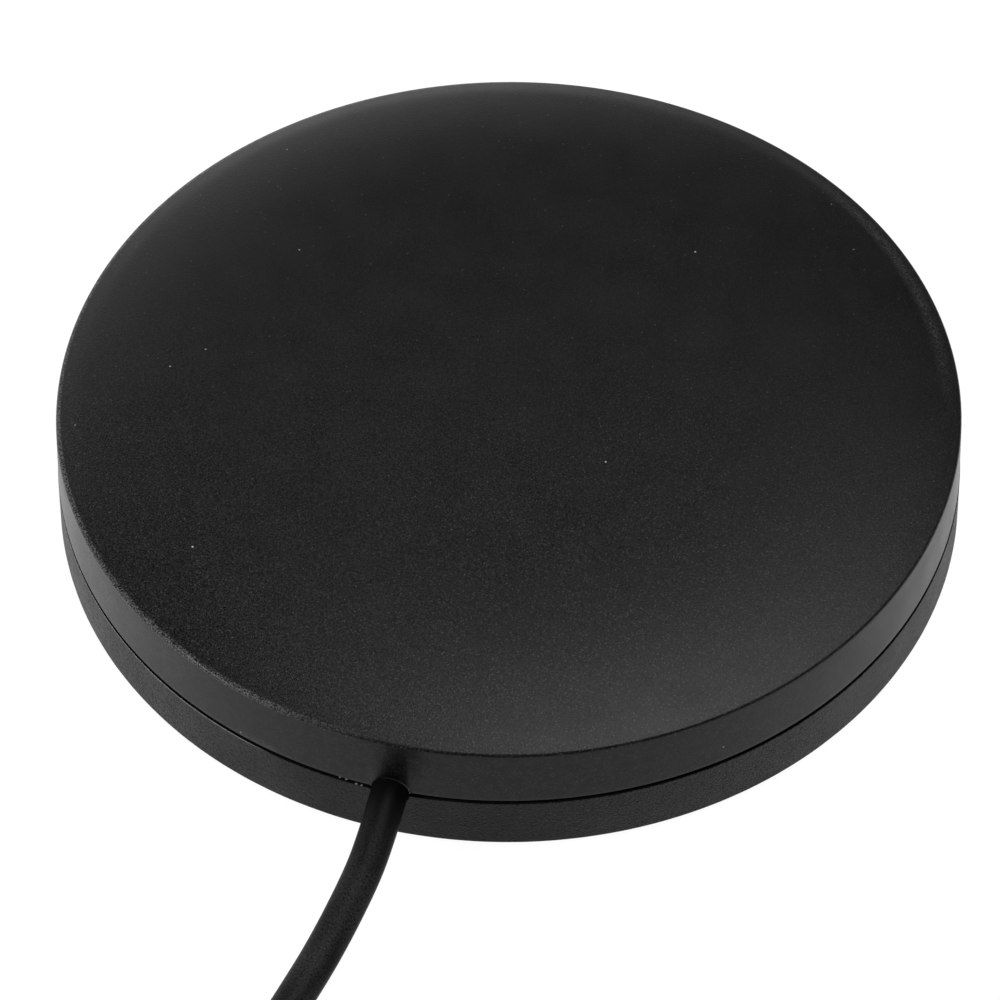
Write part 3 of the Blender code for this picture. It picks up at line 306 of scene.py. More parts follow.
class Nodes(Tree):
    """A material's node tree round its one shader."""

    def __init__(self, name, coords='Object'):
        self.material = bpy.data.materials.new(name)
        self.material.use_nodes = True
        super().__init__(self.material.node_tree, coords)
        self.shader = self.add('BsdfPrincipled')
        self.add('OutputMaterial', {'Surface': self.shader.outputs['BSDF']})

    def set(self, base, **more):
        """Feed the shader's base colour and its other inputs, and give the material."""
        self.feed(self.shader.inputs['Base Color'], base)
        for name, value in more.items():
            socket = 'IOR' if name == 'ior' else name.replace('_', ' ').title()
            self.feed(self.shader.inputs[socket], value)
        return self.material

    def axes(self, vector=None):
        """The three parts of a vector, or of the coordinates."""
        node = self.add('SeparateXYZ', {'Vector': vector or self.coords})
        return node.outputs['X'], node.outputs['Y'], node.outputs['Z']

    def noise(self, scale, detail=2.0, roughness=0.5, vector=None, distortion=0.0):
        return self.add('TexNoise', {
            'Vector': vector or self.coords, 'Scale': scale, 'Detail': detail, 'Roughness': roughness,
            'Distortion': distortion}).outputs['Fac']

    def streaks(self, scales, detail, roughness):
        """Noise with a size of its own along each axis."""
        stretched = self.add('Mapping', {'Vector': self.coords, 'Scale': scales})
        return self.noise(1.0, detail, roughness, stretched.outputs['Vector'])

    def cells(self, scale, output='Distance', randomness=1.0):
        return self.add('TexVoronoi', {
            'Vector': self.coords, 'Scale': scale, 'Randomness': randomness}).outputs[output]

    def dots(self, scale, full, gone):
        """Scattered dots, solid out to one share of a cell and faded out at another."""
        return self.fall(self.cells(scale), full, gone)

    def wave(self, scale, axis):
        return self.add('TexWave', {'Vector': self.coords, 'Scale': scale},
                        bands_direction=axis).outputs['Fac']

    def blend(self, share, first, second):
        """Colours mixed by a share."""
        return self.add('Mix', {0: share, 6: first, 7: second}, data_type='RGBA').outputs[2]

    def coats(self, colour, *coats):
        """A colour with others laid over it in turn, each by its share."""
        for share, over in coats:
            colour = self.blend(share, colour, over)
        return colour

    def bump(self, height, depth, normal=None, strength=1.0):
        return self.add('Bump', {
            'Strength': strength, 'Distance': depth, 'Height': height, 'Normal': normal}).outputs['Normal']


# Studio

def photo_direction(x, y, z):
    """A direction in the part's frame, given as right, away and up in the photograph."""
    return (Matrix.Rotation(CAMERA_AZIMUTH, 3, 'Z') @ Vector((x, y, z))).normalized()


# Soft lights: direction from the antenna, where each starts and ends to fade in degrees, brightness
SOFT_LIGHTS = (
    ((0.25, 0.045, 0.967), 12.0, 34.0, 6.3),
    ((0.145, 0.36, 0.92), 1.0, 10.0, 4.4),
    ((-0.649, 0.756, 0.079), 27.0, 46.0, 1.6),
    ((-0.116, 0.986, -0.116), 15.0, 30.0, 2.7),
    ((-0.8, -0.28, 0.46), 6.0, 20.0, 16.0),
)
ROOM_LIGHT = 0.11
FLOOR_REACH = 3.0
PAPER_GLOW = 0.96


def make_studio():
    """White floor and backdrop under two soft lights overhead, two low behind and one at the left."""
    world = bpy.data.worlds.new("studio")
    world.use_nodes = True
    sky = Tree(world.node_tree, 'Generated')
    light = ROOM_LIGHT
    for direction, full, faded, strength in SOFT_LIGHTS:
        facing = {0: sky.coords, 1: photo_direction(*direction)}
        cosine = sky.add('VectorMath', facing, operation='DOT_PRODUCT')
        away = sky.math('ARCCOSINE', cosine.outputs['Value'])
        patch = sky.fit(away, math.radians(full), math.radians(faded), strength, 0.0, 'SMOOTHSTEP')
        light = sky.math('ADD', patch, light)
    room = sky.add('Background', {'Strength': light})
    backdrop = sky.add('Background', {'Color': 1.0, 'Strength': 1.0})
    seen = sky.add('LightPath').outputs['Is Camera Ray']
    shown = sky.add('MixShader', {
        0: seen, 1: room.outputs['Background'], 2: backdrop.outputs['Background']})
    sky.add('OutputWorld', {'Surface': shown.outputs['Shader']})
    bpy.context.scene.world = world

    corners = [(x * FLOOR_REACH, y * FLOOR_REACH, 0.0) for x, y in ((-1, -1), (1, -1), (1, 1), (-1, 1))]
    floor = new_object("floor", new_mesh("floor", corners, [(0, 1, 2, 3)]))
    paper = Nodes("white_sweep").set(0.04, roughness=0.9, emission_color=1.0, emission_strength=PAPER_GLOW)
    floor.data.materials.append(paper)


# Materials: patterns are sized per metre, or by the UV map on the lead and the plug

def cover_plastic():
    """Fine matte black moulding, grainy on top and smoother on the wall, with dust, a wear streak, painted
    glints, painted highlights on the hole's burr, the rim and the top's right edge, and its top painted
    lighter towards the front.
    """
    n = Nodes("cover_plastic")
    x, y, z = n.axes()
    radius = n.radius(x, y)
    top = n.fit(z, RIM_HEIGHT - 0.35 * MM, RIM_HEIGHT - 0.1 * MM, kind='SMOOTHSTEP')
    crisp = n.times(n.fit(y, -28.0 * MM, 8.0 * MM, 1.0, 0.2), n.fit(top, 0.0, 1.0, 0.5, 1.0))
    fine = n.math('SUBTRACT', n.noise(7400, 2.0, 0.7), 0.5)
    grain = n.times(n.math('SUBTRACT', n.noise(8600, 2.0, 0.6), 0.5), n.fit(top, 0.0, 1.0, 0.8, 1.0))
    flecks = n.times(n.dots(3400, 0.1, 0.26), crisp)
    specks = n.times(n.dots(3100, 0.14, 0.32), crisp)
    # Painted glints: bright dots in the colour that stand in for sparkle of the light
    painted_glints = n.dots(1100, 0.04, 0.08)
    pits = n.times(n.dots(1300, 0.06, 0.12), n.fall(top, 0.0, 1.0))
    dust = n.times(n.dots(420, 0.02, 0.04), n.fit(n.axes(n.cells(420, 'Color'))[0], 0.60, 0.61))

    # Painted highlight: the burr round the lead's hole is painted pale on its right side only, where it
    # catches the light
    from_hole = n.radius(x, n.math('SUBTRACT', z, CABLE_AXIS_HEIGHT))
    burr = n.times(n.fall(from_hole, *LIP_HIGHLIGHT_RADII), n.below(y, -35.4 * MM), n.fit(x, *LIP_HIGHLIGHT_X))
    # Painted highlight: a speckled pale line along the rim's crease at the front left, where the edge
    # catches the light
    crease = n.times(n.fit(radius, *RIM_HIGHLIGHT_RADII), n.fall(x, *RIM_HIGHLIGHT_X),
                     n.above(z, RIM_HEIGHT - 0.28 * MM))
    # Painted highlight: a speckled pale band near the top's rim at the right and back, where the rounding
    # catches the light
    shoulder_highlight = n.times(n.fit(radius, *SHOULDER_HIGHLIGHT_RADII), n.fit(x, *SHOULDER_HIGHLIGHT_X, 0.0, 0.5),
                       n.fit(y, *SHOULDER_HIGHLIGHT_Y), n.fit(radius, *SHOULDER_HIGHLIGHT_EDGE, 1.0, 0.25))
    rubbed = n.times(n.fit(z, COVER_FOOT + 0.3 * MM, COVER_FOOT + 0.9 * MM, 0.45, 0.0),
                     n.fall(n.apart(x, RUBBED_STREAK_X), *RUBBED_STREAK_HALF), n.below(y, 0.0))
    # Speckled pale marks: the rim's and the top's right edge's are painted highlights, the low streak on the
    # wall is wear
    scuffs = n.times(n.fit(n.noise(7800, 1.0, 0.6), 0.45, 0.58),
                     n.math('MAXIMUM', n.math('MAXIMUM', crease, shoulder_highlight), rubbed))

    tone = n.math('ADD', n.times(fine, crisp, 5.5), 0.5, clamp=True)
    # Painted light: the top's colour is lighter towards the front and darker towards the back, as the light
    # falls on it
    tone_with_painted_light = n.blend(n.fit(y, -10.0 * MM, 20.0 * MM), 0.0132, 0.0088)
    wall = n.blend(n.fit(n.noise(1500, 2.0, 0.6), 0.35, 0.65), 0.0015, 0.0115)
    # Partly painted highlight: the grain's flecks are painted brighter towards the right, where the top's
    # highlight lies
    fleck_tone_lit_right = n.blend(n.fit(x, -8.0 * MM, 14.0 * MM), 0.026, 0.045)
    colour = n.coats(n.blend(tone, 0.0001, n.blend(top, wall, tone_with_painted_light)), (specks, 0.0004),
                     (flecks, fleck_tone_lit_right), (painted_glints, 0.045), (pits, 0.001), (burr, 0.05), (scuffs, 0.065),
                     (dust, 0.35))
    normal = n.bump(grain, 0.021 * MM)
    normal = n.bump(n.math('SUBTRACT', flecks, pits), 0.008 * MM, normal)
    rough = n.fit(n.noise(260, 3.0, 0.55), 0.3, 0.7, 0.285, 0.35)
    return n.set(colour, roughness=rough, ior=1.25, normal=normal)


def base_plastic():
    """Black moulding with a coarse spark-eroded texture, painted darker across its middle and lighter
    towards the sides as the light falls, with painted glints, its groove's ledge painted dark as shade, a
    painted highlight on its edge, and lint.
    """
    n = Nodes("base_plastic")
    x, y, z = n.axes()
    radius = n.radius(x, y)
    top = BASE_TOP - SEAM_EASE
    # Painted shade: the groove's ledge, under the cover's overhang, is coloured near black
    ledge = n.times(n.above(z, top - 0.004 * MM), n.above(radius, TONGUE_OUTER_RADIUS - 0.1 * MM))
    grain = n.noise(6800, 1.0, 0.6)
    pits = n.dots(3300, 0.16, 0.34)
    # Painted highlight: a pale line along the base's top edge at the front left
    edge = n.times(n.above(z, top - 0.06 * MM), n.above(radius, BASE_TOP_RADIUS - 0.035 * MM),
                   n.fall(x, *EDGE_HIGHLIGHT_X), n.below(y, 0.0))
    lint = n.times(n.dots(2300, 0.2, 0.3), n.below(y, -34.0 * MM), ledge,
                   n.below(n.apart(x, LINT_X), LINT_HALF))
    # Painted light and shade: the wall's colour is darker across its middle and lighter towards the left and
    # right sides, as the light falls on it
    tone_with_painted_light = n.blend(n.fit(n.apart(x, 3.0 * MM), 7.0 * MM, 25.0 * MM), 0.012, 0.042)
    # Painted light in the coats: the dots at 1700 per metre are painted glints, the ledge's near black is
    # painted shade and the edge's pale line a painted highlight
    colour = n.coats(n.blend(n.fit(grain, 0.37, 0.63), 0.0004, tone_with_painted_light), (pits, 0.0005),
                     (n.dots(1700, 0.05, 0.1), 0.08), (ledge, 0.0008), (edge, 0.16), (lint, 0.3))
    uneven = n.math('ADD', grain, n.noise(240, 2.0, 0.5))
    rough = n.math('ADD', n.fit(uneven, 0.6, 1.4, 0.36, 0.56), n.times(ledge, 0.4))
    normal = n.bump(pits, -0.035 * MM, n.bump(grain, 0.05 * MM))
    return n.set(colour, roughness=rough, ior=1.22, normal=normal)


def cable_jacket():
    """Satin black vinyl with faint drawn lines along it, paler in patches of wear, and painted dark near the
    housing as the shade there.
    """
    n = Nodes("cable_jacket", 'UV')
    drawn = n.streaks((70.0, 1.2, 1.0), 3.0, 0.6)
    waves = n.streaks((2.5, 0.9, 1.0), 2.0, 0.5)
    grain = n.noise(24.0, 3.0, 0.7)
    # Painted shade: the lead is painted dark near where it leaves the housing and fades to its own colour
    # further along; past that, random patches are paler as wear
    worn_and_shaded = n.times(n.fit(grain, 0.35, 0.6), n.fit(n.axes()[1], 2.7, 4.4))
    normal = n.bump(grain, 0.01 * MM, n.bump(drawn, 0.012 * MM, strength=0.5), 0.4)
    rough = n.fit(n.math('ADD', drawn, waves), 0.6, 1.4, 0.34, 0.48)
    return n.set(n.blend(n.times(waves, worn_and_shaded), 0.002, 0.04), roughness=rough, ior=1.11, normal=normal)


def pad_foam():
    """Closed-cell foam with its cut bubbles."""
    n = Nodes("pad_foam")
    bubbles = n.cells(2600, randomness=0.9)
    tone = n.blend(n.fit(bubbles, 0.15, 0.6), 0.012, 0.035)
    colour = n.blend(n.noise(400, 3.0, 0.6), tone, 0.03)
    return n.set(colour, roughness=0.93, normal=n.bump(bubbles, 0.08 * MM, strength=0.8))


def liner_film():
    """Waxed paper liner with a faint fibre and soft waves."""
    n = Nodes("liner_film")
    fibre = n.streaks((900.0, 5200.0, 900.0), 4.0, 0.65)
    clouds = n.noise(150, 3.0, 0.5)
    colour = n.coats(n.blend(clouds, (0.78, 0.70, 0.50), (0.70, 0.60, 0.40)),
                     (n.fit(fibre, 0.35, 0.75, 0.0, 0.5), (0.85, 0.80, 0.64)),
                     (n.times(n.dots(900, 0.03, 0.09), 0.35), (0.45, 0.34, 0.2)))
    normal = n.bump(clouds, 0.05 * MM, n.bump(fibre, 0.01 * MM, strength=0.5), 0.3)
    return n.set(colour, roughness=n.fit(clouds, 0.3, 0.7, 0.28, 0.42), normal=normal)


def screw_steel():
    """Zinc-plated steel with turning lines and dull patches."""
    n = Nodes("screw_steel")
    lines = n.streaks((1500.0, 1500.0, 26000.0), 3.0, 0.6)
    patches = n.noise(1300, 3.0, 0.6)
    colour = n.blend(patches, (0.52, 0.53, 0.56), (0.68, 0.68, 0.67))
    rough = n.fit(n.math('ADD', lines, patches), 0.6, 1.4, 0.2, 0.42)
    return n.set(colour, metallic=1.0, roughness=rough, normal=n.bump(lines, 0.01 * MM, strength=0.4))


def board_laminate():
    """Green solder mask over copper: a feed track, a ground ring and stitched holes."""
    n = Nodes("board_laminate")
    x, y = n.axes()[:2]
    weave = n.times(n.wave(1900, 'X'), n.wave(1900, 'Y'))
    ring = n.fit(n.radius(x, y), 24.0 * MM, 24.15 * MM)
    track = n.times(n.below(n.math('ABSOLUTE', x), 0.75 * MM), n.below(y, -9.0 * MM))
    copper = n.math('MAXIMUM', ring, track)
    holes = n.times(n.fall(n.cells(420, randomness=0.15), 0.12, 0.15), ring)
    colour = n.coats(n.blend(copper, (0.012, 0.105, 0.045), (0.03, 0.22, 0.085)),
                     (n.times(weave, 0.25), (0.05, 0.2, 0.1)), (holes, (0.62, 0.48, 0.22)))
    normal = n.bump(weave, 0.006 * MM, n.bump(copper, 0.035 * MM, strength=0.9), 0.5)
    return n.set(colour, roughness=n.fit(n.noise(900), 0.3, 0.7, 0.22, 0.36), normal=normal)


def radiator_metal():
    """Tin-plated sheet with rolled lines and faint spangle."""
    n = Nodes("radiator_metal")
    rolled = n.streaks((500.0, 14000.0, 500.0), 3.0, 0.6)
    facet = n.axes(n.cells(330, 'Color'))[0]
    colour = n.blend(facet, (0.66, 0.64, 0.58), (0.78, 0.76, 0.70))
    rough = n.fit(n.math('ADD', rolled, facet), 0.4, 1.6, 0.2, 0.4)
    return n.set(colour, metallic=1.0, roughness=rough, normal=n.bump(rolled, 0.012 * MM, strength=0.4))


def chip_ceramic(name, middle_x, half_body):
    """Sintered ceramic chip between two tinned ends."""
    n = Nodes(name)
    end = n.above(n.apart(n.axes()[0], middle_x), half_body)
    grain = n.noise(9000, 3.0, 0.6)
    body = n.blend(grain, (0.22, 0.17, 0.12), (0.36, 0.30, 0.23))
    tin = n.blend(grain, (0.6, 0.6, 0.62), (0.75, 0.75, 0.76))
    return n.set(n.blend(end, body, tin), metallic=end, roughness=n.fit(grain, 0.3, 0.7, 0.28, 0.5),
                 normal=n.bump(grain, 0.015 * MM, strength=0.5))


def solder():
    """Bright tin alloy, frosted here and there."""
    n = Nodes("solder")
    frost = n.noise(1800, 4.0, 0.65)
    ripples = n.noise(700, 2.0, 0.5, distortion=0.6)
    normal = n.bump(ripples, 0.08 * MM, strength=0.5)
    return n.set(n.blend(frost, (0.58, 0.58, 0.6), (0.78, 0.78, 0.78)), metallic=1.0,
                 roughness=n.fit(frost, 0.35, 0.7, 0.1, 0.38), normal=normal)


def braid_copper():
    """Fine copper wires crossing round the core."""
    n = Nodes("braid_copper")
    x, y, z = n.axes()
    turn = n.times(n.math('ARCTAN2', x, n.math('SUBTRACT', z, CABLE_AXIS_HEIGHT)), 8.0)
    along = n.times(y, 3400.0)
    wires = n.math('MAXIMUM', n.math('SINE', n.math('ADD', turn, along)),
                   n.math('SINE', n.math('SUBTRACT', turn, along)))
    colour = n.coats(n.blend(n.fit(wires, -0.2, 1.0), (0.16, 0.06, 0.03), (0.78, 0.44, 0.3)),
                     (n.noise(2500, 2.0), (0.62, 0.36, 0.25)))
    return n.set(colour, metallic=1.0, roughness=n.fit(wires, -0.2, 1.0, 0.5, 0.25),
                 normal=n.bump(wires, 0.06 * MM, strength=0.9))


def white_insulation():
    """Waxy white fluoroplastic with faint turned rings."""
    n = Nodes("white_insulation")
    rings = n.streaks((9000.0, 2600.0, 2600.0), 2.0, 0.5)
    colour = n.blend(n.noise(800, 3.0, 0.5), (0.80, 0.80, 0.76), (0.90, 0.90, 0.88))
    return n.set(colour, roughness=n.fit(rings, 0.3, 0.7, 0.3, 0.45), subsurface_weight=0.15,
                 normal=n.bump(rings, 0.008 * MM, strength=0.4))


def tie_plastic():
    """Black nylon with a fine satin grain and a few scuffs."""
    n = Nodes("tie_plastic")
    grain = n.noise(7000, 2.0, 0.6)
    scuffs = n.streaks((700.0, 700.0, 4200.0), 3.0, 0.7)
    return n.set(n.blend(n.fit(scuffs, 0.55, 0.75, 0.0, 0.6), 0.012, 0.03), ior=1.45,
                 roughness=n.fit(grain, 0.2, 0.8, 0.3, 0.46), normal=n.bump(grain, 0.01 * MM, strength=0.5))


def plated_brass():
    """Gold plate over turned brass: fine rings round the plug's axis, warm and cool patches."""
    n = Nodes("plated_brass", 'UV')
    rings = n.streaks((0.3, 13.0, 1.0), 4.0, 0.65)
    patches = n.noise(0.45, 3.0, 0.6)
    scratches = n.streaks((5.0, 0.7, 1.0), 3.0, 0.7)
    colour = n.coats(n.blend(patches, (0.80, 0.56, 0.20), (0.92, 0.70, 0.34)),
                     (n.fit(scratches, 0.62, 0.8, 0.0, 0.5), (0.66, 0.46, 0.18)))
    rough = n.fit(n.math('ADD', rings, patches), 0.6, 1.4, 0.14, 0.34)
    return n.set(colour, metallic=1.0, roughness=rough, normal=n.bump(rings, 0.006 * MM, strength=0.5))


def gasket_rubber():
    """Red silicone with a dusty bloom."""
    n = Nodes("gasket_rubber")
    bloom = n.noise(2600, 3.0, 0.6)
    return n.set(n.blend(bloom, (0.42, 0.03, 0.02), (0.56, 0.09, 0.06)),
                 roughness=n.fit(bloom, 0.3, 0.7, 0.5, 0.7), normal=n.bump(bloom, 0.02 * MM, strength=0.5))


def sleeve_plastic():
    """Shrunk tubing, faintly ridged where it has drawn down."""
    n = Nodes("sleeve_plastic", 'UV')
    ridges = n.streaks((6.5, 0.75, 1.0), 3.0, 0.55)
    grain = n.noise(22.0, 2.0, 0.6)
    normal = n.bump(grain, 0.008 * MM, n.bump(ridges, 0.02 * MM, strength=0.5), 0.4)
    return n.set(n.blend(ridges, 0.010, 0.017), roughness=n.fit(grain, 0.2, 0.8, 0.42, 0.58), normal=normal)


# Each function's name is the slot that its material fills
FINISHES = {make.__name__: make() for make in (
    cover_plastic, base_plastic, cable_jacket, pad_foam, liner_film, screw_steel, board_laminate,
    radiator_metal, solder, braid_copper, white_insulation, tie_plastic, plated_brass, gasket_rubber,
    sleeve_plastic)}


# Mesh helpers

def place(name, mesh, slot, *nodes, body="antenna"):
    """A piece with its slot's finish, on the body that it moves with, in place of its CAD nodes."""
    mesh.materials.append(FINISHES[slot])
    piece = new_object(name, mesh)
    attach(piece, body)
    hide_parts(*nodes)
    return piece


def new_mesh(name, verts, faces, uvs=None):
    """A mesh, with a UV place for each corner of each face if they are given."""
    mesh = bpy.data.meshes.new(name)
    mesh.from_pydata(verts, [], faces)
    if uvs:
        layer = mesh.uv_layers.new(name="along")
        layer.data.foreach_set("uv", [value for uv in uvs for value in uv])
    return mesh


def grid_faces(rings, count, closed=False):
    """Faces between rings of points; closed joins the last ring to the first."""
    faces = []
    for ring in range(rings if closed else rings - 1):
        start, following = ring * count, (ring + 1) % rings * count
        for step in range(count):
            ahead = (step + 1) % count
            faces.append((start + step, start + ahead, following + ahead, following + step))
    return faces


def grid_uvs(widths, lengths, count):
    """UV places for grid_faces, from one column's width in each row and how far along each ring lies."""
    uvs = []
    for row, width in enumerate(widths):
        low, high = lengths[row], lengths[row + 1]
        for column in range(count):
            left, right = column * width, (column + 1) * width
            uvs += [(left, low), (right, low), (right, high), (left, high)]
    return uvs


def end_faces(rings, count):
    """The flat ends of a mesh of rings."""
    return [tuple(reversed(range(count))), tuple(range((rings - 1) * count, rings * count))]


def looped(rings, closed=False):
    """A mesh through rings of points, each joined to the next, with flat ends unless it is closed."""
    count = len(rings[0])
    faces = grid_faces(len(rings), count, closed)
    if not closed:
        faces += end_faces(len(rings), count)
    return new_mesh("loop", [point for ring in rings for point in ring], faces)


def join_meshes(meshes):
    """One mesh in place of several; nothing is merged."""
    verts, faces = [], []
    for mesh in meshes:
        start = len(verts)
        verts.extend(v.co.copy() for v in mesh.vertices)
        faces.extend(tuple(start + i for i in p.vertices) for p in mesh.polygons)
        bpy.data.meshes.remove(mesh)
    return new_mesh("joined", verts, faces)


def with_inside(mesh, node, kept):
    """The mesh, shaded smooth, with flat copies of those faces of a CAD node whose middle is kept."""
    source = NODES[node].data
    smooth = len(mesh.polygons)
    verts, faces = [], []
    for face in source.polygons:
        if kept(face.center):
            faces.append(tuple(range(len(verts), len(verts) + len(face.vertices))))
            verts += [source.vertices[i].co.copy() for i in face.vertices]
    joined = join_meshes([mesh, new_mesh("inside", verts, faces)])
    for index, face in enumerate(joined.polygons):
        face.use_smooth = index < smooth
    return joined


def arc_points(centre, radius, start, end, steps):
    """Places on an arc in a profile, by angles in degrees from straight out, as radius and height."""
    places = []
    for step in range(steps + 1):
        angle = math.radians(start + (end - start) * step / steps)
        places.append((centre[0] + radius * math.cos(angle), centre[1] + radius * math.sin(angle)))
    return places


def straight(first, last, steps):
    """Places between two corners, without the corners."""
    return [tuple(a + (b - a) * step / steps for a, b in zip(first, last)) for step in range(1, steps)]


# Housing

def crown_height(radius):
    """Height of the outer top surface above the rim; it rolls off a little near the rim."""
    share = max(0.0, radius - CROWN_FLAT_RADIUS) / (RIM_RADIUS - CROWN_FLAT_RADIUS)
    whole = roll_off(RIM_RADIUS)
    return (CROWN_RISE - whole) * (1 - share ** CROWN_POWER) + whole - roll_off(radius)


def roll_off(radius):
    """How far the top falls by a radius below its plain curve."""
    turning = min(max(0.0, radius - ROLL_START), ROLL_END - ROLL_START)
    steady = max(0.0, radius - ROLL_END)
    return ROLL_SLOPE * (turning ** 2 / (2 * (ROLL_END - ROLL_START)) + steady)


def wall_columns(count):
    """Angles round the housing from the lead's side, with close ones across the lead's hole."""
    edge = math.sqrt(CABLE_HOLE_RADIUS ** 2 - (CABLE_AXIS_HEIGHT - BASE_TOP) ** 2)
    half_hole = math.asin(edge / COVER_FOOT_RADIUS)
    inside = [half_hole * math.sin(math.pi / 2 * step / HOLE_COLUMNS)
              for step in range(-HOLE_COLUMNS, HOLE_COLUMNS + 1)]
    gap = TAU - 2 * half_hole
    rest = round(gap / (TAU / count))
    return inside + [half_hole + gap * step / rest for step in range(1, rest)]


def ring_point(angle, radius, height):
    """A place on the housing; across the lead's hole the columns keep their distance from its axis."""
    side = COVER_FOOT_RADIUS * math.sin(angle)
    if abs(side) < HOLE_COLUMN_REACH and math.cos(angle) > 0 and radius > COVER_INNER_RADIUS - 1.0 * MM:
        return Vector((side, -math.sqrt(radius ** 2 - side ** 2), height))
    return Vector((radius * math.sin(angle), -radius * math.cos(angle), height))


def turned_shell(rows, angles, shift):
    """A mesh of rows turned about Z; shift moves a point, which it gets with its row."""
    verts = [shift(ring_point(angle, radius, height), row)
             for row, (radius, height) in enumerate(rows) for angle in angles]
    return new_mesh("shell", verts, grid_faces(len(rows), len(angles)))


def hole_shift(point, edge, fixed, way):
    """How far a wall's point rises (way 1) or sinks (way -1) to clear the lead's hole.

    It gives way fully at the height of the groove's edge, and not at all from the fixed height on.
    """
    side = abs(point.x)
    if point.y >= 0 or side >= CABLE_HOLE_RADIUS:
        return 0.0
    hole = CABLE_AXIS_HEIGHT + way * math.sqrt(CABLE_HOLE_RADIUS ** 2 - side ** 2)
    if way * (hole - edge) <= 0:
        return 0.0
    return (hole - edge) * max(0.0, (point.z - fixed) / (edge - fixed))


def hole_lip():
    """Thin burr round the upper half of the lead's hole, on the cover's wall."""
    reach = CABLE_HOLE_RADIUS + HOLE_LIP_RADIUS / 2
    places = []
    for step in range(LIP_STEPS + 1):
        turn = math.radians(LIP_START + LIP_SPAN * step / LIP_STEPS)
        side, height = reach * math.cos(turn), CABLE_AXIS_HEIGHT + reach * math.sin(turn)
        draft = (RIM_RADIUS - COVER_FOOT_RADIUS) * (height - COVER_FOOT) / (RIM_HEIGHT - COVER_FOOT)
        wall = COVER_FOOT_RADIUS + draft
        places.append(Vector((side, -math.sqrt(wall ** 2 - side ** 2), height)))
    return tube_mesh(places, HOLE_LIP_RADIUS, 8, MM)


def make_cover():
    """Crowned cover with its crisp rim, drafted wall, groove edge and the upper half of the lead's hole."""
    wall_normal = -math.degrees(math.atan2(RIM_RADIUS - COVER_FOOT_RADIUS, RIM_HEIGHT - COVER_FOOT))
    inward = 0.02 * MM
    top_normal = 90.0 - math.degrees(math.atan2(crown_height(RIM_RADIUS - inward), inward))
    inner_foot = (COVER_INNER_RADIUS, COVER_FOOT)
    foot = (COVER_FOOT_RADIUS, COVER_FOOT + SEAM_EASE)
    rows = [inner_foot] + straight(inner_foot, foot, 8)
    rows += arc_points((foot[0] - SEAM_ROUND, foot[1] + SEAM_ROUND), SEAM_ROUND, -90, wall_normal,
                       SEAM_PROFILE_STEPS)
    middle = math.radians((top_normal + wall_normal) / 2)
    reach = RIM_ROUND / math.cos(math.radians(top_normal - wall_normal) / 2)
    centre = (RIM_RADIUS - reach * math.cos(middle), RIM_HEIGHT - reach * math.sin(middle))
    rim = arc_points(centre, RIM_ROUND, wall_normal, top_normal, 10)
    rows += straight(rows[-1], rim[0], 14) + rim
    for step in range(1, CROWN_ROWS):
        radius = rim[-1][0] * (1 - (step / CROWN_ROWS) ** CROWN_CROWDING)
        rows.append((radius, RIM_HEIGHT + crown_height(radius)))
    rows.append((CROWN_EYE_RADIUS, RIM_HEIGHT + CROWN_RISE))

    def lifted(point, _row):
        point.z += hole_shift(point, COVER_FOOT, RIM_HEIGHT - HOLE_EASE, 1)
        return point

    def kept(centre_point):
        radius = math.hypot(centre_point.x, centre_point.y)
        ceiling = RIM_HEIGHT + crown_height(radius) - 0.9 * MM
        return radius < COVER_INNER_RADIUS + 0.02 * MM and centre_point.z < ceiling

    outside = join_meshes([turned_shell(rows, wall_columns(360), lifted), hole_lip()])
    place("cover_shell", with_inside(outside, "top_cover", kept), "cover_plastic", "top_cover")


def make_base():
    """Tray's outside with its coarse moulded texture, foot and the lower half of the lead's hole."""
    lean = math.degrees(math.atan2(BASE_FOOT_RADIUS - BASE_TOP_RADIUS, BASE_TOP - BASE_FOOT_HEIGHT))
    ledge = (TONGUE_OUTER_RADIUS, BASE_TOP)
    top = (BASE_TOP_RADIUS, BASE_TOP - SEAM_EASE)
    rows = [ledge] + straight(ledge, top, 8)
    rows += arc_points((top[0] - SEAM_ROUND, top[1] - SEAM_ROUND), SEAM_ROUND, 90, lean, SEAM_PROFILE_STEPS)
    first_wall = len(rows)
    centre = (BASE_FOOT_RADIUS - FOOT_ROUND, BASE_FOOT_HEIGHT + FOOT_ROUND)
    foot = arc_points(centre, FOOT_ROUND, lean, -90, 6)
    rows += straight(rows[-1], foot[0], 26) + foot[:-1]
    last_wall = len(rows)
    recess = (RECESS_RADIUS, BASE_FOOT_HEIGHT)
    rows += foot[-1:] + straight(foot[-1], recess, 4) + [recess, (RECESS_RADIUS, RECESS_CEILING)]
    rows.reverse()

    def shaped(point, row_from_end):
        """The lead's hole, and the texture's lumps and pits."""
        row = len(rows) - 1 - row_from_end
        if row < last_wall:
            point.z += hole_shift(point, BASE_TOP, BASE_FOOT_HEIGHT + HOLE_EASE, -1)
        if first_wall <= row < last_wall:
            lump = noise.noise(point * LUMPS) + 0.5 * noise.noise(point * SMALL_LUMPS)
            out = Vector((point.x, point.y, 0.0)).normalized()
            point = point - LUMP_DEPTH * max(0.0, 0.5 + lump) * out
        return point

    def kept(centre_point):
        radius = math.hypot(centre_point.x, centre_point.y)
        in_recess = centre_point.z < RECESS_CEILING + 0.03 * MM and radius > RECESS_RADIUS - 0.07 * MM
        return radius <= TONGUE_OUTER_RADIUS + 0.04 * MM and not in_recess

    outside = turned_shell(rows, wall_columns(720), shaped)
    place("base_shell", with_inside(outside, "base_plate", kept), "base_plastic", "base_plate")


# Lead and coil

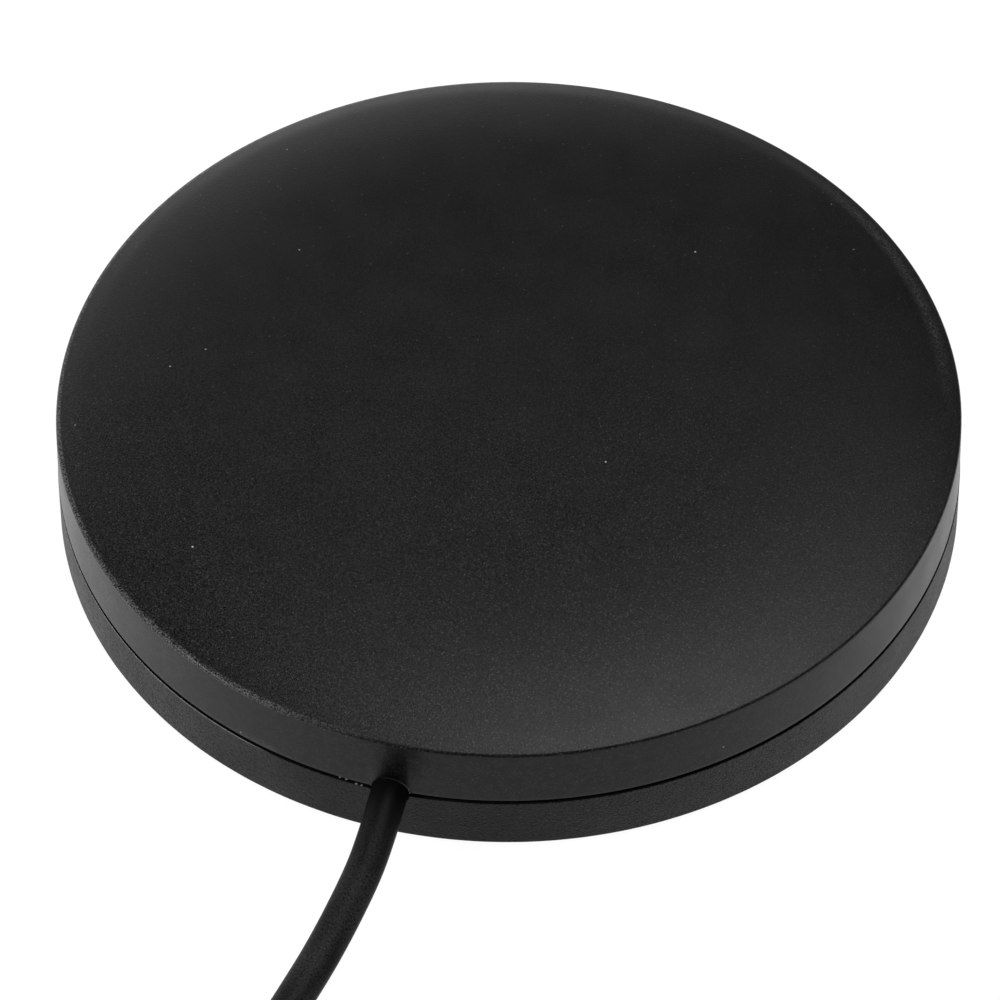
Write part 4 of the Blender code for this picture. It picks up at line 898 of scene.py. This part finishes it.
def smooth_route(route, spacing):
    """Points a set distance apart on a smooth curve through the route's own points."""
    ends = [2 * route[0] - route[1], *route, 2 * route[-1] - route[-2]]
    fine = []
    for p0, p1, p2, p3 in zip(ends, ends[1:], ends[2:], ends[3:]):
        for step in range(ROUTE_STEPS):
            t = step / ROUTE_STEPS
            fine.append(0.5 * (2 * p1 + (p2 - p0) * t + (2 * p0 - 5 * p1 + 4 * p2 - p3) * t ** 2
                               + (3 * p1 - p0 - 3 * p2 + p3) * t ** 3))
    fine.append(route[-1])
    length = sum((b - a).length for a, b in zip(fine, fine[1:]))
    count = max(2, round(length / spacing))
    result = [fine[0]]
    walked = 0.0
    for a, b in zip(fine, fine[1:]):
        step = (b - a).length
        while len(result) < count and walked + step >= len(result) * length / count:
            result.append(a.lerp(b, (len(result) * length / count - walked) / step))
        walked += step
    result.append(route[-1])
    return result


def ease(share):
    """A share held within none and all, that starts and ends gently."""
    share = min(1.0, max(0.0, share))
    return share * share * (3 - 2 * share)


def coil_points():
    """The wound turns, layer on layer, drawn together where the tie holds them."""
    stops = []
    for layer, turns in enumerate(LAYER_TURNS):
        inset = 0.0 if layer % 2 == 0 else TURN_PITCH / 2
        radii = [WIDE_LAYER_RADIUS - inset - TURN_PITCH * turn for turn in range(turns)]
        if layer % 2:
            radii.reverse()
        stops += [(radius, LAYER_HEIGHTS[layer]) for radius in radii]
    stops.append((WIDE_LAYER_RADIUS - TURN_PITCH / 2, LAYER_HEIGHTS[-1]))
    draw_in = (TIE_THICKNESS + TIE_DRAW) / (WIDE_LAYER_RADIUS - COIL_MIDDLE_RADIUS)
    press = (TIE_THICKNESS + TIE_DRAW) / (COIL_MIDDLE_HEIGHT - LAYER_HEIGHTS[0])
    points = []
    total_turns = len(stops) - 1
    last = (COIL_END - COIL_START) / TAU
    for step in range(round((total_turns + last) * POINTS_PER_TURN) + 1):
        walked = step / POINTS_PER_TURN
        turn = min(int(walked), total_turns)
        share = ease((walked - turn - CROSSING_START) / CROSSING_SPAN) if turn < total_turns else 0.0
        here, ahead = stops[turn], stops[min(turn + 1, total_turns)]
        radius = here[0] + (ahead[0] - here[0]) * share
        height = here[1] + (ahead[1] - here[1]) * share
        angle = COIL_START + walked * TAU
        off_tie = abs((angle - TIE_ANGLE + math.pi) % TAU - math.pi) * radius
        held = 1 - ease((off_tie - TIE_HOLD) / TIE_RELEASE)
        spot = Vector((math.cos(angle) * 1.7, math.sin(angle) * 1.7, turn * 3.1))
        radius += TURN_WANDER * (1 - held) * noise.noise(spot)
        radius -= (radius - COIL_MIDDLE_RADIUS) * draw_in * held
        height -= (height - COIL_MIDDLE_HEIGHT) * press * held
        points.append(COIL_CENTRE + Vector((radius * math.cos(angle), radius * math.sin(angle), height)))
    return points


def lead_points():
    """The whole lead: from inside the housing, along the floor, round the coil and down to the plug."""
    lead = [Vector((0.0, JACKET_END_Y, CABLE_AXIS_HEIGHT))]
    lead += [EXIT + MM * Vector(p) for p in LEAD_ROUTE]
    coil = coil_points()
    tail = [EXIT + MM * Vector(p) for p in TAIL_ROUTE]
    tail += [PLUG_REAR + along * MM * PLUG_FORWARD for along in (-8.0, -4.0, 2.2)]
    approach = smooth_route(lead + coil[:3], 0.7 * MM)
    leaving = smooth_route(coil[-3:] + tail, 1.0 * MM)
    return approach + coil[3:-3] + leaving


def tube_mesh(points, radius, sides, scale):
    """A round tube along the points, with closed ends; its UV map is square at the scale's size."""
    verts, lengths = [], [0.0]
    for before, here in zip(points, points[1:]):
        lengths.append(lengths[-1] + (here - before).length)
    side = (points[1] - points[0]).normalized().cross(UP).normalized()
    for index, point in enumerate(points):
        before, after = points[max(index - 1, 0)], points[min(index + 1, len(points) - 1)]
        direction = (after - before).normalized()
        side = (side - side.dot(direction) * direction).normalized()
        over = direction.cross(side)
        for step in range(sides):
            angle = TAU * step / sides
            verts.append(point + radius * (math.cos(angle) * side + math.sin(angle) * over))
    faces = grid_faces(len(points), sides) + end_faces(len(points), sides)
    widths = [TAU * radius / scale / sides] * (len(points) - 1)
    uvs = grid_uvs(widths, [length / scale for length in lengths], sides) + [(0.0, 0.0)] * (2 * sides)
    return new_mesh("tube", verts, faces, uvs)


# Plug

def cylinders(*stages):
    """A profile's corners from its stages, each a radius and where along the axis it starts and ends."""
    return [(radius, along) for radius, start, end in stages for along in (start, end)]


def softened(places, size, closed=False):
    """A profile with each corner drawn as a short curve; a closed one joins its ends."""
    count = len(places)
    result = []
    for index, (radius, along) in enumerate(places):
        here = Vector((radius, along))
        if not closed and index in (0, count - 1):
            result.append((radius, along))
            continue
        before, after = Vector(places[index - 1]), Vector(places[(index + 1) % count])
        reach = min(size, 0.4 * (before - here).length, 0.4 * (after - here).length)
        start = here + reach * (before - here).normalized()
        end = here + reach * (after - here).normalized()
        for step in range(4):
            share = step / 3
            place = (1 - share) ** 2 * start + 2 * share * (1 - share) * here + share ** 2 * end
            result.append((place.x, place.y))
    return result


def filled(places, spacing, closed=False):
    """A profile with more places along its long stretches."""
    result = []
    ends = places[1:] + places[:1] if closed else places[1:]
    for first, last in zip(places, ends):
        length = math.dist(first, last)
        result += [first] + straight(first, last, max(1, round(length / spacing)))
    return result if closed else result + places[-1:]


def lathe(places, columns, shape=None, closed=False):
    """A mesh turned about the plug's axis, its outside drawn forwards; shape alters a point's radius.

    Its UV map runs round the axis and along the profile, in millimetres.
    """
    verts, lengths = [], [0.0]
    for first, last in zip(places, places[1:] + places[:1]):
        lengths.append(lengths[-1] + math.dist(first, last))
    for radius, along in places:
        for column in range(columns):
            angle = TAU * column / columns
            reach = shape(radius, along, angle) if shape else radius
            verts.append(PLUG_REAR + along * PLUG_FORWARD
                         + reach * (math.cos(angle) * PLUG_SIDE + math.sin(angle) * UP))
    rows = len(places) if closed else len(places) - 1
    widths = [max(place[0], 0.5 * MM) / MM * TAU / columns for place in places[:rows]]
    uvs = grid_uvs(widths, [length / MM for length in lengths], columns)
    return new_mesh("turned", verts, grid_faces(len(places), columns, closed), uvs)


def turned_piece(name, node, slot, mesh, body="antenna", crisp=40.0):
    """A turned piece of the plug, its edges sharp where they turn by more than an angle in degrees."""
    mesh.shade_smooth()
    mesh.set_sharp_from_angle(angle=math.radians(crisp))
    return place(name, mesh, slot, node, body=body)


def hexagon(angle, half_flat):
    """Distance from a hexagon's middle to its side; one side faces up."""
    return half_flat / math.cos((angle % (TAU / 6)) - TAU / 12)


def make_coupling_nut():
    """Hexagon nut with turned corners, chamfered ends and its inner thread."""
    chamfer_run = NUT_CHAMFER * 1.2
    outer = [(NUT_CORNER_RADIUS, NUT_START + chamfer_run * step / 8) for step in range(9)]
    outer += [(NUT_CORNER_RADIUS, NUT_END - chamfer_run * (8 - step) / 8) for step in range(9)]
    mouth_end = NUT_END - 0.15 * MM
    thread_start = NUT_END - 0.2 * MM
    outline = outer + [(NUT_RELIEF_RADIUS + 0.05 * MM, NUT_END), (THREAD_ROOT_RADIUS, mouth_end)]
    steps = round((thread_start - NUT_RELIEF_END) / THREAD_PITCH * THREAD_STEPS)
    outline += [(THREAD_ROOT_RADIUS, thread_start - step * THREAD_PITCH / THREAD_STEPS)
                for step in range(steps + 1)]
    bore = cylinders((NUT_RELIEF_RADIUS, NUT_RELIEF_END - 0.1 * MM, NUT_STEP),
                     (NUT_BORE_RADIUS, NUT_STEP, SNAP_GROOVE[1]),
                     (NUT_GROOVE_RADIUS, *reversed(SNAP_GROOVE)),
                     (NUT_BORE_RADIUS, SNAP_GROOVE[0], NUT_START))
    outline += softened([outline[-1], *bore], 0.06 * MM)[1:]

    def shape(radius, along, angle):
        """Flats and chamfers outside, and the thread inside."""
        if radius == NUT_CORNER_RADIUS:
            from_end = min(along - NUT_START, NUT_END - along)
            cone = NUT_CORNER_RADIUS - NUT_CHAMFER + 1.15 * from_end
            return min(NUT_CORNER_RADIUS, hexagon(angle, NUT_HALF_FLAT), cone)
        if radius == THREAD_ROOT_RADIUS and along < NUT_END - 0.18 * MM:
            wave = (along / THREAD_PITCH - angle / TAU) % 1.0
            rise = min(1.0, 1.25 * (1 - abs(2 * wave - 1)))
            fade = ease((mouth_end - along) / THREAD_PITCH)
            fade *= ease((along - NUT_RELIEF_END) / (0.5 * THREAD_PITCH))
            return THREAD_ROOT_RADIUS - (THREAD_ROOT_RADIUS - THREAD_CREST_RADIUS) * rise * fade
        return radius

    nut = lathe(outline, 144, shape, closed=True)
    return turned_piece("hexagon_nut", "coupling_nut", "plated_brass", nut, body="nut", crisp=25.0)


def crimp_squeeze(along, angle):
    """How far the crimping tool's six jaws have pressed the ferrule in at a place."""
    depth = FERRULE_RADIUS - min(FERRULE_RADIUS, hexagon(angle, CRIMP_HALF_FLAT))
    start = ease((along - CRIMP_START) / (0.4 * MM))
    return depth * start * ease((CRIMP_END - along) / (0.4 * MM))


def make_plug():
    """The plug's turned body, crimped ferrule, shrunk sleeve, insulator, pin, gasket and nut."""
    turned_line = (SHOULDER_RADIUS - 0.16 * MM, SHOULDER_START + 0.8 * MM, SHOULDER_START + 1.1 * MM)
    body = cylinders((STEM_RADIUS, STEM_START, SHOULDER_START),
                     (SHOULDER_RADIUS, SHOULDER_START, SHOULDER_START + 0.7 * MM), turned_line,
                     (SHOULDER_RADIUS, SHOULDER_START + 1.2 * MM, NECK_START),
                     (NECK_RADIUS, NECK_START, SNAP_GROOVE[0]), (SNAP_GROOVE_RADIUS, *SNAP_GROOVE),
                     (NECK_RADIUS, SNAP_GROOVE[1], FRONT_START), (FRONT_RADIUS, FRONT_START, BODY_END),
                     (BODY_BORE_RADIUS, BODY_END, BODY_BORE_END))
    body = [(0.0, STEM_START), *body, (0.0, BODY_BORE_END)]
    ferrule = [(FERRULE_BORE_RADIUS, 0.0), (FERRULE_RADIUS, 0.0), (FERRULE_RADIUS, FERRULE_LENGTH),
               (FERRULE_BORE_RADIUS, FERRULE_LENGTH)]
    inner, narrow = FERRULE_RADIUS + SLEEVE_AIR, CABLE_RADIUS + SLEEVE_AIR
    slope_end = -0.3 * MM
    slope_start = slope_end - (FERRULE_RADIUS - CABLE_RADIUS)
    sleeve = [(narrow, SLEEVE_START), (narrow + SLEEVE_WALL, SLEEVE_START),
              (narrow + SLEEVE_WALL, slope_start), (inner + SLEEVE_WALL, slope_end),
              (inner + SLEEVE_WALL, SLEEVE_END), (inner, SLEEVE_END), (inner, slope_end),
              (narrow, slope_start)]
    dish = INSULATOR_END - 0.12 * MM
    insulator = [(INSULATOR_BORE_RADIUS, INSULATOR_START), (INSULATOR_RADIUS, INSULATOR_START),
                 (INSULATOR_RADIUS, INSULATOR_END), (1.35 * MM, INSULATOR_END), (1.3 * MM, dish),
                 (0.85 * MM, dish), (0.8 * MM, INSULATOR_END), (INSULATOR_BORE_RADIUS, INSULATOR_END)]
    pin = [(0.0, PIN_START), (PIN_RADIUS, PIN_START), (PIN_RADIUS, PIN_END - 0.5 * MM),
           (PIN_RADIUS / 3, PIN_END), (0.0, PIN_END)]
    seal = [(GASKET_RADII[0], GASKET_SPAN[0]), (GASKET_RADII[1], GASKET_SPAN[0]),
            (GASKET_RADII[1], GASKET_SPAN[1]), (GASKET_RADII[0], GASKET_SPAN[1])]

    def squeezed(radius, along, angle):
        return radius - crimp_squeeze(along, angle) if radius > FERRULE_RADIUS - 0.01 * MM else radius

    def shrunk(radius, along, angle):
        if radius <= inner + 0.1 * MM and along > slope_start or radius <= narrow + 0.1 * MM:
            return radius
        crease = noise.noise(Vector((3 * math.cos(angle), 3 * math.sin(angle), along / MM * 0.4)))
        return radius - 0.8 * crimp_squeeze(along, angle) - 0.03 * MM * (0.5 + 0.5 * crease)

    ferrule = lathe(filled(ferrule, 0.2 * MM, closed=True), 96, squeezed, closed=True)
    sleeve = filled(softened(sleeve, 0.3 * MM, closed=True), 0.25 * MM, closed=True)
    sleeve = lathe(sleeve, 96, shrunk, closed=True)
    insulator = lathe(softened(insulator, 0.08 * MM, closed=True), 96, closed=True)
    seal = lathe(softened(seal, 0.2 * MM, closed=True), 96, closed=True)
    return [
        turned_piece("plug_body", "connector_body", "plated_brass", lathe(softened(body, 0.14 * MM), 96)),
        turned_piece("crimped_ferrule", "crimp_ferrule", "plated_brass", ferrule),
        turned_piece("shrunk_sleeve", "heat_shrink", "sleeve_plastic", sleeve, crisp=60.0),
        turned_piece("front_insulator", "connector_insulator", "white_insulation", insulator),
        turned_piece("contact_pin", "centre_pin", "plated_brass", lathe(softened(pin, 0.18 * MM), 48)),
        turned_piece("seal_ring", "gasket", "gasket_rubber", seal),
        make_coupling_nut(),
    ]


# Tie

def rounded_rectangle(half_x, half_y, corner, steps):
    """Places round a rectangle with round corners, counterclockwise from its right side's lower end."""
    places = []
    for turn, (sign_x, sign_y) in enumerate(((1, -1), (1, 1), (-1, 1), (-1, -1))):
        for step in range(steps + 1):
            angle = math.pi / 2 * (turn - 1 + step / steps)
            places.append((sign_x * (half_x - corner) + corner * math.cos(angle),
                           sign_y * (half_y - corner) + corner * math.sin(angle)))
    return places


def tie_place(outward, across, height):
    """A place by its reach from the coil's centre towards the tie, its offset across it, and height."""
    towards = Vector((math.cos(TIE_ANGLE), math.sin(TIE_ANGLE), 0.0))
    beside = Vector((-math.sin(TIE_ANGLE), math.cos(TIE_ANGLE), 0.0))
    return COIL_CENTRE + outward * towards + across * beside + height * UP


def make_tie():
    """Nylon tie: a ribbed strap round the wound turns, its head and the strap's cut end."""
    half_x, half_z = (COIL_OUTER_RADIUS - COIL_INNER_RADIUS) / 2, (COIL_TOP - COIL_BOTTOM) / 2
    half_width, half_thick = TIE_WIDTH / 2, TIE_THICKNESS / 2
    course = rounded_rectangle(half_x - half_thick, half_z - half_thick, COIL_ROUND - half_thick, 10)
    course = filled(course, 0.12 * MM, closed=True)
    rim, groove, floor = half_width - 0.15 * MM, 0.95 * MM, 0.8 * MM
    section = [(-half_width, -0.5), (-half_width, 0.5), (-rim, 1.0), (-groove, 1.0), (-floor, 0.72),
               (floor, 0.72), (groove, 1.0), (rim, 1.0), (half_width, 0.5), (half_width, -0.5),
               (rim, -1.0), (-rim, -1.0)]
    rings = []
    walked = 0.0
    for index, (x, z) in enumerate(course):
        before, after = Vector(course[index - 1]), Vector(course[(index + 1) % len(course)])
        along = (after - before).normalized()
        outward = Vector((along.y, -along.x))
        walked += (Vector((x, z)) - before).length
        rib = 0.16 * abs((walked / TIE_RIB_PITCH) % 1.0 - 0.5)
        ring = []
        for across, level in section:
            if abs(across) <= floor:
                level = min(1.0, level + rib)
            ring.append(tie_place(COIL_MIDDLE_RADIUS + x + outward.x * level * half_thick, across,
                                  COIL_MIDDLE_HEIGHT + z + outward.y * level * half_thick))
        rings.append(ring)
    strap = looped(rings, closed=True)

    head_x = COIL_OUTER_RADIUS - half_thick + TIE_HEAD_REACH / 2
    half_reach, half_wide, half_high = TIE_HEAD_REACH / 2, TIE_HEAD_WIDTH / 2, TIE_HEAD_HEIGHT / 2
    slot = (0.52 * MM, 1.98 * MM)
    slot_mouth = (slot[0] + 0.1 * MM, slot[1] + 0.1 * MM)
    edge = 0.35 * MM

    def outline(half_sides, corner, level):
        corners = rounded_rectangle(*half_sides, corner, 5)
        return [tie_place(head_x + x, y, COIL_MIDDLE_HEIGHT + level) for x, y in corners]

    # Half the head: from the middle of the slot's floor out to its mouth, and over the rounded edge
    half = [((0.02 * MM, 0.04 * MM), 0.01 * MM, half_high - 0.8 * MM),
            (slot, 0.12 * MM, half_high - 0.8 * MM), (slot, 0.12 * MM, half_high - 0.1 * MM),
            (slot_mouth, 0.2 * MM, half_high)]
    for step in range(6):
        angle = math.pi / 2 * step / 5
        inset = edge * (1 - math.sin(angle))
        level = half_high - edge * (1 - math.cos(angle))
        half.append(((half_reach - inset, half_wide - inset), 0.6 * MM, level))
    head = looped([outline(sides, corner, -level) for sides, corner, level in half]
                  + [outline(sides, corner, level) for sides, corner, level in reversed(half)])

    end_sides = (half_thick - 0.02 * MM, half_width)
    end = [outline(end_sides, 0.12 * MM, half_high - 0.85 * MM),
           outline(end_sides, 0.12 * MM, half_high + 0.62 * MM),
           outline((half_thick - 0.08 * MM, half_width - 0.06 * MM), 0.1 * MM, half_high + 0.68 * MM)]
    mesh = join_meshes([strap, head, looped(end)])
    mesh.shade_smooth()
    mesh.set_sharp_from_angle(angle=math.radians(35.0))
    return place("strap_tie", mesh, "tie_plastic", "cable_tie")


# What is made

make_camera()
make_studio()
points = lead_points()
route_length = sum((b - a).length for a, b in zip(points, points[1:]))
print(f"lead {route_length:.4f} m along {len(points)} points")
lead_tube = tube_mesh(points, CABLE_RADIUS, 24, JACKET_PATTERN)
lead_tube.shade_smooth()
lead = place("lead", lead_tube, "cable_jacket", "antenna_cable", "cable_coil", "cable_tail")
tie = make_tie()
plug = make_plug()
make_cover()
make_base()

# Nodes that stay as the CAD has them, by the slot whose finish they get
STAYING = {
    "pad_foam": ["adhesive_pad"],
    "liner_film": ["release_liner"],
    "board_laminate": ["antenna_board"],
    "radiator_metal": ["radiator_plate"],
    "white_insulation": ["cable_dielectric"],
    "base_plastic": ["cable_clamp"],
    "screw_steel": ["cover_screw_1", "cover_screw_2", "cover_screw_3", "clamp_screw_1", "clamp_screw_2",
                    "snap_ring"],
    "solder": ["feed_solder", "ground_solder"],
    "braid_copper": ["cable_braid", "cable_core"],
}
dressed = {name: FINISHES[slot] for slot, names in STAYING.items() for name in names}
for name in ("match_chip_1", "match_chip_2"):
    low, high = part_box(name)
    dressed[name] = chip_ceramic(name, (low.x + high.x) / 2, 0.32 * (high.x - low.x))
for name, material in dressed.items():
    NODES[name].data.materials.clear()
    NODES[name].data.materials.append(material)

bpy.context.scene.view_settings.view_transform = 'Standard'
